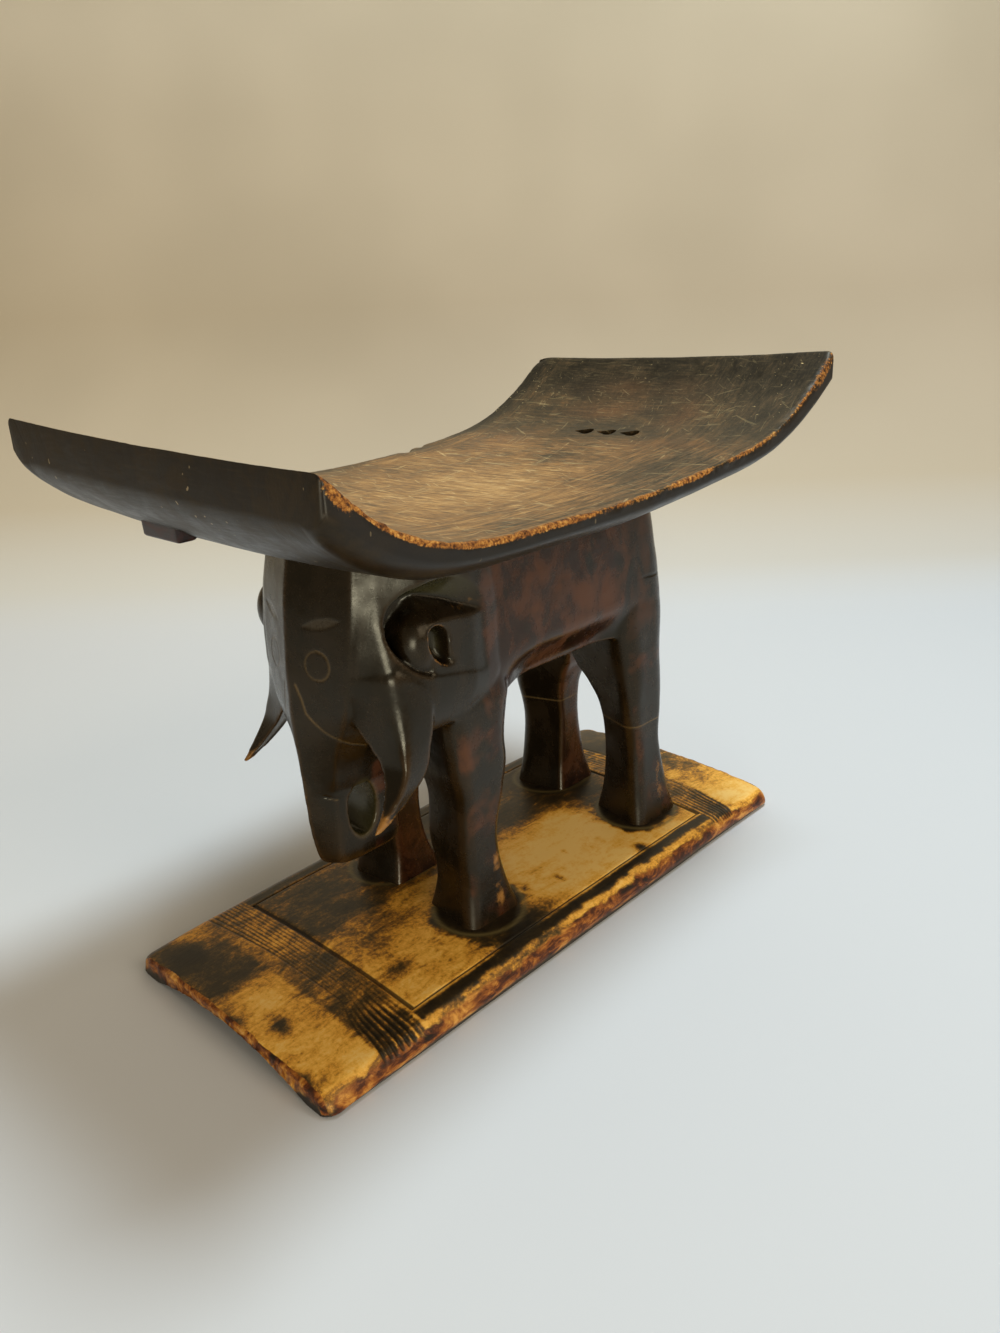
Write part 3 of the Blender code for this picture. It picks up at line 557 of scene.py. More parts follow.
BELLY = 198 * MM
BODY_WIDTH = 142 * MM
NECK = -108 * MM
BODY_LENGTH = 268 * MM
STANCE = -2.5 * MM
JAW = 150 * MM
HEAD_WIDTH = 108 * MM
HEAD_DEPTH = 69 * MM
TRUNK_LENGTH = 61 * MM
BODY_ROUNDS = (14 * MM, 24 * MM, 24 * MM, 14 * MM)
BELLY_ROUND = 18 * MM
LEG_LOW = 19 * MM
LEG_DEPTH = 52 * MM
LEG_WIDTH = 46 * MM
LEG_INNER_ROUND = 9 * MM
FRONT_LEG_Y = NECK + 21 * MM
REAR_LEG_Y = NECK + BODY_LENGTH - 46 * MM
CURL_Y = NECK - 30 * MM
CURL_Z = JAW - 19 * MM
CURL_HALF_WIDTH = 11.5 * MM
CURL_HALF_HEIGHT = 21 * MM
CURL_REACH = 70 * MM
TRUNK_OVERLAP = 0.6 * MM
FACE_ROUNDS = (1.2 * MM, 8 * MM, 12 * MM, 3 * MM, 3 * MM, 12 * MM, 8 * MM)
SKIN_STEP = 1.15 * MM
SKIN_RUBS = 5
SHARP_REACH = 24

# Between which places along Y the rounding under the belly grows in from the front and from the rear
BELLY_FRONT = (-58 * MM, 2 * MM)
BELLY_REAR = (130 * MM, 70 * MM)
# The barrel from the belly up: share of its height, of its width and of its length
BODY_SHARES = (
    (0.00, 0.985, 1.000),
    (0.20, 1.000, 0.992),
    (0.45, 1.000, 0.970),
    (0.70, 0.990, 0.945),
    (1.00, 0.955, 0.915),
)
# Legs from the board up: share of the height, then where the front's outer and inner corner and the
# rear lie as shares of a leg's depth, and the inner and outer side as shares of its width
FRONT_LEG_SHARES = (
    (0.00, -0.05, 0.06, 1.06, -0.20, 0.98),
    (0.17, 0.02, 0.18, 0.86, -0.10, 0.89),
    (0.38, 0.04, 0.10, 0.74, -0.13, 0.87),
    (0.58, 0.00, 0.12, 0.85, -0.13, 0.92),
    (0.72, -0.11, 0.03, 0.94, -0.27, 0.97),
    (0.82, -0.17, -0.02, 0.94, -0.50, 1.00),
    (0.94, -0.23, -0.08, 1.00, -0.62, 1.02),
    (0.985, -0.30, -0.14, 1.03, -0.62, 1.02),
    (1.01, -0.44, -0.28, 1.05, -0.62, 1.02),
    (1.05, -0.50, -0.34, 1.06, -0.62, 1.00),
    (1.26, -0.40, -0.25, 1.00, -0.60, 0.88),
)
REAR_LEG_SHARES = (
    (0.00, -0.02, 0.12, 1.11, -0.14, 1.05),
    (0.17, 0.02, 0.23, 0.95, -0.05, 0.96),
    (0.40, 0.02, 0.27, 0.80, -0.05, 0.90),
    (0.58, -0.12, 0.18, 0.79, -0.10, 0.92),
    (0.70, -0.18, 0.08, 0.81, -0.28, 0.95),
    (0.80, -0.22, -0.02, 0.83, -0.50, 0.97),
    (1.00, -0.36, -0.22, 0.86, -0.62, 0.985),
    (1.14, -0.42, -0.22, 0.84, -0.62, 0.975),
    (1.28, -0.30, -0.10, 0.76, -0.60, 0.88),
)
# Head from the jaw up and trunk from its end up: share of the height, then how far forward ridge,
# brow and cheek come, and how wide brow and cheek are. The trunk's rows end with its back.
HEAD_SHARES = (
    (0.00, 0.97, 0.72, 0.42, 0.27, 0.33),
    (0.14, 0.98, 0.75, 0.44, 0.40, 0.50),
    (0.27, 1.00, 0.78, 0.45, 0.60, 0.80),
    (0.38, 1.00, 0.78, 0.45, 0.76, 0.94),
    (0.56, 0.98, 0.74, 0.42, 0.86, 1.00),
    (0.76, 0.92, 0.68, 0.38, 0.88, 1.00),
    (1.00, 0.78, 0.56, 0.28, 0.82, 0.97),
)
TRUNK_SHARES = (
    (0.00, 0.68, 0.62, 0.52, 0.12, 0.16, 0.22),
    (0.05, 0.80, 0.68, 0.50, 0.20, 0.24, 0.08),
    (0.16, 0.87, 0.72, 0.48, 0.24, 0.29, 0.00),
    (0.45, 0.93, 0.72, 0.44, 0.25, 0.31, 0.00),
    (1.00, 0.97, 0.72, 0.42, 0.27, 0.33, 0.02),
)
# Tusk from the top of the cheek down to the tip, in millimetres: height, then ridge, inner edge, back
# and rear edge, each as x and y. The left tusk ends one row sooner.
TUSK_ROWS = (
    (254, 61.5, -141.5, 44, -155.5, 38, -132, 65, -137),
    (243, 67.6, -144.0, 44.6, -159.8, 36, -128, 70.5, -134),
    (232, 70.2, -144.0, 42.6, -161, 36, -112, 74.0, -119),
    (222, 72.2, -144.2, 40, -159.8, 37, -108, 74.8, -116),
    (211, 74.0, -144.8, 38.6, -157.6, 40, -112, 75.1, -117),
    (200, 76, -145.5, 41.5, -154.5, 50, -122, 75.2, -118),
    (190, 78, -147, 49, -152.5, 62, -131, 75.2, -120),
    (180, 79.4, -149, 57, -152.5, 67, -134, 75.2, -122.5),
    (170, 80.2, -154.5, 63.5, -157, 71, -141, 75.3, -129),
    (161, 79.4, -162.5, 68.5, -163.5, 73.5, -151, 75.6, -141.5),
    (156, 78, -167.5, 71.5, -168.5, 75, -158.5, 76.4, -149.5),
    (151, 77.2, -172.5, 73.0, -173, 75.5, -164, 77.0, -160),
    (147, 76.2, -176, 73.4, -176.2, 75.0, -170.5, 76.8, -168.5),
)
# Neck and shoulders from the chest up, in millimetres: height, then five places of its near half,
# brow, cheek, front and rear of the shoulder and the flank, each as x and y
NECK_ROWS = (
    (195.5, 35, -143, 66, -135, 67.0, -109, 67.6, -90, 62, -54),
    (199, 36, -148, 69, -139, 69.4, -111, 69.6, -87, 64, -50),
    (205, 38, -152.5, 71, -141, 71.8, -113.5, 71.4, -83, 66, -42),
    (212, 39, -156, 71.5, -142.5, 73.4, -115, 72.8, -79, 66, -36),
    (222, 40, -159, 71.5, -143, 74.2, -115, 73.7, -76, 66, -32),
    (232, 43, -160.5, 69.6, -143.2, 74.0, -115, 73.7, -76, 66, -32),
    (243, 45, -159.5, 67.2, -143.6, 73.6, -116, 73.6, -76, 66, -32),
    (254, 46.4, -158.5, 64.4, -144, 73.3, -117, 73.3, -76, 66, -32),
    (265, 46.8, -157.5, 61.4, -144.5, 73.1, -117, 73.1, -76, 66, -32),
    (276, 47.0, -156, 58.8, -145.2, 72.9, -117.5, 72.9, -76, 65.8, -33),
    (288, 47.0, -154.5, 56.8, -144, 72.4, -118, 72.4, -77, 65.4, -35),
    (300, 46.4, -152.2, 55.5, -142, 71.6, -118, 71.7, -78, 64.8, -38),
    (312, 45.5, -149.5, 54.0, -141.5, 70.6, -118, 70.9, -78, 64, -40),
    (345, 44, -144, 51.0, -135, 68.4, -116, 69.2, -80, 62, -46),
)
# Above this height the neck's rings follow the curve of the seat
NECK_LEVEL = 308
# Round the ear: y and z of the hollow's rim, from under the bulb over the top to the rear edge, and on
# along the rear edge and the lower edge of the lobe. Then x of the hollow's floor along y, the edge of
# the pit in the bulb, and how wide the slope from rim to floor is along y. All in millimetres.
EAR_RIM = ((-107, 234.5), (-122, 239.5), (-131, 247), (-137.5, 256), (-140.8, 265), (-141.3, 273.3),
           (-139, 282), (-134.3, 289), (-127, 294), (-116, 298), (-102, 299.3), (-88.5, 298), (-78, 293),
           (-70, 286.5), (-64.5, 279), (-62, 271), (-61.5, 262), (-62.5, 250), (-61.5, 238), (-63, 226),
           (-85, 230))
EAR_FLOOR = ((-141, -130, -116, -100, -82, -66, -61), (45, 46.5, 51, 58.5, 64.5, 69, 71.5))
PIT_EDGE = ((-115.8, 262), (-114, 266), (-110.5, 268.5), (-106, 268.3), (-101.5, 266), (-98.6, 262),
            (-98.2, 250), (-98, 243), (-101, 240.5), (-106, 243), (-111, 247.5), (-114.5, 253), (-116, 258))
EAR_COVE = ((-140, -128, -108, -85, -66), (4, 6, 18, 24, 14))
# The bulb in the ear: y and z of its middle, its half-sizes, and x where it begins and how far it stands
# out. Then how deep the pit in it is, how wide the pit's wall is, and a chip in the pit's lower edge. All
# in millimetres.
BULB_Y, BULB_Z = -115, 256
BULB_HALF_Y, BULB_HALF_Z = 17, 24
BULB_FOOT = 56.5
BULB_HEIGHT = 17
PIT_DEPTH = 12.5
PIT_WALL = 7.5
CHIP_Y, CHIP_Z = -97.5, 242.5
CHIP_HALF_Y, CHIP_HALF_Z = 3.2, 3
CHIP_DEPTH = 3
# The far ear's bulb stands out farther than the near one's
LEFT_BULGE = (-61.5 * MM, -131 * MM, 262 * MM)
LEFT_BULGE_RADII = (19 * MM, 19 * MM, 23 * MM)


def flow(table, steps):
    """Rows of a table along a smooth curve, with a number of steps between its rows."""
    rows = []
    last = len(table) - 1
    for i in range(last):
        a, b, c, d = (np.array(table[max(0, min(k, last))]) for k in (i - 1, i, i + 1, i + 2))
        for t in np.arange(steps) / steps:
            bend = (2 * a - 5 * b + 4 * c - d) * t * t + (3 * b - a - 3 * c + d) * t ** 3
            rows.append((2 * b + (c - a) * t + bend) / 2)
    rows.append(np.array(table[-1]))
    return rows


def rounded(corners, radii, steps=9, parts=(1, 1, 1, 1, 1, 1, 1)):
    """A closed outline with round corners, its straight sides in parts."""
    arcs = []
    for i, corner in enumerate(corners):
        here = Vector(corner)
        before = Vector(corners[i - 1]) - here
        after = Vector(corners[(i + 1) % len(corners)]) - here
        half = before.angle(after) / 2
        reach = min(radii[i] / math.tan(half), 0.48 * min(before.length, after.length))
        radius = reach * math.tan(half)
        middle = here + (before.normalized() + after.normalized()).normalized() * radius / math.sin(half)
        start = here + before.normalized() * reach - middle
        side = 1 if before.x * after.y - before.y * after.x < 0 else -1
        arc = []
        for step in range(steps + 1):
            turn = side * (math.pi - 2 * half) * step / steps
            arc.append((middle.x + start.x * math.cos(turn) - start.y * math.sin(turn),
                        middle.y + start.x * math.sin(turn) + start.y * math.cos(turn)))
        arcs.append(arc)
    points = []
    for arc, onward, count in zip(arcs, arcs[1:] + arcs[:1], parts):
        points += arc
        (ax, ay), (bx, by) = arc[-1], onward[0]
        points += [(ax + (bx - ax) * k / count, ay + (by - ay) * k / count) for k in range(1, count)]
    return points


def cast(name, form):
    """The object that a finished form makes."""
    mesh = bpy.data.meshes.new(name)
    form.to_mesh(mesh)
    form.free()
    return show(name, mesh)


def blocked_out(name, rings):
    """A closed member through rings of points."""
    form = bmesh.new()
    rows = [[form.verts.new(point) for point in ring] for ring in rings]
    count = len(rows[0])
    for lower, upper in zip(rows, rows[1:]):
        for i in range(count):
            j = (i + 1) % count
            form.faces.new((lower[i], lower[j], upper[j], upper[i]))
    form.faces.new(list(reversed(rows[0])))
    form.faces.new(rows[-1])
    bmesh.ops.recalc_face_normals(form, faces=form.faces)
    bmesh.ops.triangulate(form, faces=form.faces)
    return cast(name, form)


def egg(name, middle, radii):
    """An egg-shaped chunk."""
    form = bmesh.new()
    bmesh.ops.create_uvsphere(form, u_segments=48, v_segments=28, radius=1)
    bmesh.ops.scale(form, vec=radii, verts=form.verts)
    bmesh.ops.translate(form, vec=middle, verts=form.verts)
    return cast(name, form)


def settle(member):
    """Make what a member's modifiers give its own mesh."""
    graph = bpy.context.evaluated_depsgraph_get()
    mesh = bpy.data.meshes.new_from_object(member.evaluated_get(graph))
    member.modifiers.clear()
    member.data = mesh


def mesh_of(member):
    """A member's mesh, with the member itself put away."""
    mesh = member.data
    bpy.data.objects.remove(member, do_unlink=True)
    return mesh


def carve(member, chunk):
    """Take a chunk out of a member, and put the chunk away."""
    change = member.modifiers.new("carve", 'BOOLEAN')
    change.operation = 'DIFFERENCE'
    change.solver = 'EXACT'
    change.object = chunk
    settle(member)
    bpy.data.objects.remove(chunk, do_unlink=True)


def gap_to(places, start, run):
    """How far places lie from the stretch that runs on from a start."""
    share = np.clip(((places - start) @ run) / (run @ run), 0, 1)
    return np.linalg.norm(places - start - share[:, None] * run, axis=1)


def within(places, outline):
    """How far inside a closed outline places lie, below 0 outside it."""
    gap = np.full(len(places), 1e9)
    crossings = np.zeros(len(places), int)
    outline = np.array(outline, float)
    for start, run in zip(outline, np.roll(outline, -1, axis=0) - outline):
        gap = np.minimum(gap, gap_to(places, start, run))
        level = (places[:, 1] - start[1]) / (run[1] if run[1] else 1e-9)
        crossings += (level >= 0) & (level < 1) & (places[:, 0] < start[0] + run[0] * level)
    return np.where(crossings % 2 == 1, gap, -gap)


def ear_skin(x, y, z):
    """Where the skin of a neck side lies once the ear is carved into it, in millimetres."""
    inside = within(np.stack([y, z], 1), flow(EAR_RIM, 3))
    floor = np.interp(y, *EAR_FLOOR)
    cove = 1 - np.clip(1 - inside / np.interp(y, *EAR_COVE), 0, 1) ** 2.2
    hollow = x - (x - floor) * cove
    round_off = np.clip(1 - ((y - BULB_Y) / BULB_HALF_Y) ** 2 - ((z - BULB_Z) / BULB_HALF_Z) ** 2, 0, 1)
    bulb = np.where(round_off > 0, BULB_FOOT + BULB_HEIGHT * np.sqrt(round_off), 0)
    valley = 270 + 1.2 * np.sin((y + 60) / 9)
    lobe = x - 0.8 - 0.95 * np.clip(z - valley, 0, None) - 1.4 * np.clip(-113 - y, 0, None)
    skin = np.maximum(np.maximum(hollow, bulb), lobe)
    pit = within(np.stack([y, z], 1), PIT_EDGE)
    skin -= PIT_DEPTH * np.sqrt(1 - np.clip(1 - pit / PIT_WALL, 0, 1) ** 2) * (pit > 0)
    chip = np.clip(1 - np.hypot((y - CHIP_Y) / CHIP_HALF_Y, (z - CHIP_Z) / CHIP_HALF_Z), 0, 1)
    skin -= CHIP_DEPTH * chip
    return np.where(inside > 0, np.minimum(skin, x), x)


# The seat's top along its length, from -1 to 1 of its half, and how far it has risen there
SEAT_SLOPE = (-1.0, -0.92, -0.84, -0.76, -0.68, -0.56, -0.38, -0.06, 0.20, 0.40, 0.56, 0.68, 0.76, 0.84,
              0.92, 1.0)
SEAT_LIFT = (0.995, 0.680, 0.452, 0.292, 0.185, 0.098, 0.042, 0.0, 0.026, 0.081, 0.150, 0.245, 0.352,
             0.500, 0.692, 0.942)
SEAT_HALF = 260 * MM
SEAT_RISE = 66 * MM
SEAT_LOW = 337 * MM
SEAT_RIM = 9 * MM
SEAT_CURVE = np.array(flow(tuple(zip(SEAT_SLOPE, SEAT_LIFT)), 8))


def seat_rise(y):
    """How far the seat's top has risen above its lowest place."""
    return SEAT_RISE * np.interp(y / SEAT_HALF, SEAT_CURVE[:, 0], SEAT_CURVE[:, 1])


def under_seat(outline, low, share):
    """A level outline raised a share of the way from low into the seat."""
    return [(x, y, low + (SEAT_LOW + seat_rise(y) - SEAT_RIM - low) * share) for x, y in outline]


def block_body():
    """The barrel of the body, from belly to seat and from neck to rump."""
    rings = []
    for height, width, rear in flow(BODY_SHARES, 8):
        half = BODY_WIDTH / 2 * width
        back = NECK + BODY_LENGTH * rear
        corners = [(half, NECK), (half, back), (-half, back), (-half, NECK)]
        outline = rounded(corners, BODY_ROUNDS, 9, (40, 16, 40, 16))
        belly = BELLY_ROUND * ease(height, 0.26, 0.0)
        shrunk = []
        for x, y in outline:
            between = ease(y, *BELLY_FRONT) * ease(y, *BELLY_REAR)
            tuck = belly * between * ease(abs(x), half * 0.6, half)
            shrunk.append((x - math.copysign(tuck, x) + STANCE, y))
        rings.append(under_seat(shrunk, BELLY, height))
    return blocked_out("body", rings)


def block_leg(name, side, place, table, front_round, rear_round):
    """A leg from inside the board to inside the belly, its corners rounder where it meets the barrel."""
    inset = BODY_WIDTH / 2 + 1 * MM - LEG_WIDTH
    rings = []
    for height, *fronts, rear, inner, outer in flow(table, 9):
        z = LEG_LOW + (BELLY - LEG_LOW) * height
        x_in = max(inset + LEG_WIDTH * inner, -0.5 * MM)
        x_out = inset + LEG_WIDTH * outer
        y_out, y_in, y_rear = (place + LEG_DEPTH * share for share in (*fronts, rear))
        joined = float(np.clip(x_in / LEG_INNER_ROUND, 0, 1))
        inner_round = max(LEG_INNER_ROUND * joined, 0.3 * MM)
        grow = float(ease(height, 0.55, 0.95))
        radii = [(10 + front_round * grow) * MM, (9 + rear_round * grow) * MM, inner_round,
                 inner_round * 0.55 + 0.1 * MM]
        outline = rounded([(x_out, y_out), (x_out, y_rear), (x_in, y_rear), (x_in, y_in)], radii)
        rings.append([(side * x + STANCE, y, z) for x, y in outline])
    return blocked_out(name, rings)


def face_outline(ridge, brow, cheek, brow_width, cheek_width, back):
    """A level cut through head or trunk: a ridge in front, two facets and a cheek on each side."""
    half = HEAD_WIDTH / 2
    right = [(half * brow_width, NECK - HEAD_DEPTH * brow), (half * cheek_width, NECK - HEAD_DEPTH * cheek),
             (half * cheek_width, NECK - HEAD_DEPTH * back + 2 * MM)]
    left = [(-x, y) for x, y in reversed(right)]
    corners = [(0, NECK - HEAD_DEPTH * ridge)] + right + left
    return rounded(corners, FACE_ROUNDS)


def block_head():
    """The head from the jaw up, and the trunk's end with the opening of its curl."""
    rings = [under_seat(face_outline(*shares, 0), JAW, height) for height, *shares in flow(HEAD_SHARES, 9)]
    head = blocked_out("head", rings)
    rings = []
    for height, *shares in flow(TRUNK_SHARES, 9):
        z = JAW + TRUNK_OVERLAP - (TRUNK_LENGTH + TRUNK_OVERLAP) * (1 - height)
        rings.append([(x, y, z) for x, y in face_outline(*shares)])
    trunk = blocked_out("trunk", rings)
    turns = [2 * math.pi * step / 56 for step in range(56)]
    rings = [[(x, CURL_Y + CURL_HALF_WIDTH * math.cos(t), CURL_Z + CURL_HALF_HEIGHT * math.sin(t))
              for t in turns] for x in (-CURL_REACH, CURL_REACH)]
    carve(trunk, blocked_out("opening", rings))
    return head, trunk


def cleared(member):
    """A member cut back from the ears' hollows."""
    for side in (1, -1):
        rings = [[(side * x, y * MM, z * MM) for y, z in EAR_RIM] for x in (40 * MM, 100 * MM)]
        carve(member, blocked_out("room", rings))
    return member


def block_tusk(name, side):
    """A horn that grows out of the cheek: a ridge in front, a thin inner edge, a round outside."""
    rings = []
    for height, *places in flow(TUSK_ROWS[:-1] if side < 0 else TUSK_ROWS, 7):
        corners = [(x * MM, y * MM) for x, y in zip(places[::2], places[1::2])]
        slim = min((places[0] - places[2]) / 28, (places[5] - places[3]) / 22, 1)
        broad = float(ease(height, 172, 228))
        radii = [(2.8 + 12.4 * broad) * slim, 1.0, 1.0, (1.4 + 3 * broad) * slim]
        outline = rounded(corners, [radius * MM for radius in radii], 7)
        rings.append([(side * x, y, height * MM) for x, y in outline])
    return blocked_out(name, rings)


def block_neck():
    """Throat, cheeks and shoulders, which join the head to the barrel, and the ears carved into them."""
    rings = []
    for height, *places in flow(NECK_ROWS, 12):
        right = [(x, y) for x, y in zip(places[::2], places[1::2])]
        left = [(-x + STANCE / MM, y) for x, y in reversed(right)]
        low = float(ease(height, 215, 202))
        radii = [8, 16 - 9 * low, 16 - 10 * low, 22, 30]
        parts = (8, 24, 34, 30, 1, 30, 34, 24, 8, 1)
        x, y = np.array(rounded(right + left, radii + radii[::-1], 9, parts)).T
        z = np.full(len(x), height)
        if height > NECK_LEVEL:
            top = (SEAT_LOW + seat_rise(y * MM) - SEAT_RIM) / MM
            share = (height - NECK_LEVEL) / (NECK_ROWS[-1][0] - NECK_LEVEL)
            z = NECK_LEVEL + (top - NECK_LEVEL) * share
        for side in (1, -1):
            near = side * x > 40
            shift = 0 if side == 1 else STANCE / MM
            x = np.where(near, shift + side * ear_skin(side * (x - shift), y, z), x)
        rings.append(np.stack([x, y, z], 1) * MM)
    return blocked_out("neck", rings)


def grow_together(name, members):
    """One even skin over all members, and the members put away."""
    form = bmesh.new()
    for member in members:
        form.from_mesh(member.data)
    whole = cast(name, form)
    skin = whole.modifiers.new("skin", 'REMESH')
    skin.mode = 'VOXEL'
    skin.voxel_size = SKIN_STEP
    settle(whole)
    for member in members:
        bpy.data.objects.remove(member, do_unlink=True)
    return mesh_of(whole)


def edges_of(mesh):
    """The two points of each edge."""
    ends = np.empty(len(mesh.edges) * 2, np.int64)
    mesh.edges.foreach_get("vertices", ends)
    return ends.reshape(-1, 2)


def averaged(values, ends, count, rounds):
    """Values drawn half way to the mean of their neighbours, a number of times."""
    a, b = ends.T
    links = np.bincount(a, minlength=count) + np.bincount(b, minlength=count)
    for _ in range(rounds):
        mean = np.stack([np.bincount(a, values[b, k], count) + np.bincount(b, values[a, k], count)
                         for k in range(values.shape[1])], 1) / links[:, None]
        values = values + (mean - values) * 0.5
    return values


def rub_down(mesh, rounds):
    """Rub the skin smooth."""
    places, _ = points_of(mesh)
    move_points(mesh, averaged(places, edges_of(mesh), len(places), rounds))


def how_sharp(mesh, rounds):
    """Above 0 on ridges and below 0 in hollows, in millimetres."""
    places, normals = points_of(mesh)
    soft = averaged(places, edges_of(mesh), len(places), rounds)
    return np.einsum('ij,ij->i', places - soft, normals) / MM


def along_line(places, line, radius):
    """1 on a line through points, 0 a radius away from it. All in millimetres."""
    line = np.array(line, float)
    nearest = np.min([gap_to(places, start, run) for start, run in zip(line, np.diff(line, axis=0))], axis=0)
    return ease(nearest, radius, 0)


# Marks on the skin, in millimetres: the eye's middle and half-sizes, the brow's middle, half-sizes and
# slope, a split in rump and trunk, the mouth's line from the ridge down and back, the trunk's fold, and
# how deep they are cut
EYE_SPOT = (22.6, 248.0)
EYE_HALVES = (8.6, 9.8)
BROW_SPOT = (26, 276.0)
BROW_HALVES = (13.5, 3.4)
BROW_SLOPE = 2.8
RUMP_SPLIT = ((69.6, 79.7, 247.3), (69.6, 114.5, 247), (67.6, 141.7, 245.1), (58, 150, 245), (40, 158, 245))
TRUNK_SPLIT = ((8.8, -164.4, 147.9), (14.7, -155.6, 144.7))
SMILE = ((5.6, -174.7, 233.2), (9.0, -173.7, 223.9), (11.3, -172.7, 213.5), (16.4, -170.2, 206.9),
         (21.2, -167.2, 201.4), (25.7, -164.5, 198.1), (29.7, -161.3, 196.0), (31.1, -153.0, 190.4),
         (32.3, -143.3, 186.4))
TRUNK_FOLD = ((5, -172, 148), (14, -158, 144.5), (18, -150, 143))
EYE_CUT = 0.45
MOUTH_CUT = 0.35
BROW_CUT = 0.35
SPLIT_DEPTH = 0.8


def cut_face(mesh):
    """The eyes' rings, the brows and the mouth's line cut into both sides of the face, and the splits."""
    places, normals = points_of(mesh)
    mm = places / MM
    x, y, z = mm.T
    front = ease(-normals[:, 1], 0.3, 0.6) * ease(y, -140, -150)
    ring, brow, smile = np.zeros((3, len(mm)))
    for side in (1, -1):
        away = np.hypot((side * x - EYE_SPOT[0]) / EYE_HALVES[0], (z - EYE_SPOT[1]) / EYE_HALVES[1])
        ring = np.maximum(ring, ease(np.abs(away - 1), 0.12, 0.0) * (0.55 + 0.45 * ease(side * x, 18, 28)))
        across = (side * x - BROW_SPOT[0]) / BROW_HALVES[0]
        lift = BROW_SPOT[1] + BROW_SLOPE * across
        leaf = BROW_HALVES[1] * np.clip(1 - across ** 2, 0, 1)
        brow = np.maximum(brow, ease(np.abs(z - lift) - leaf, 0.6, -0.6) * (np.abs(across) < 1))
        smile = np.maximum(smile, along_line(mm * (side, 1, 1), SMILE, 1.3))
    ring *= front
    brow *= front
    split = np.maximum(along_line(mm, RUMP_SPLIT, 1.3), along_line(mm, TRUNK_SPLIT, 1.1))
    depth = EYE_CUT * ring + MOUTH_CUT * smile + BROW_CUT * brow + SPLIT_DEPTH * split
    move_points(mesh, places - normals * depth[:, None] * MM)
    return ring, brow, smile, split


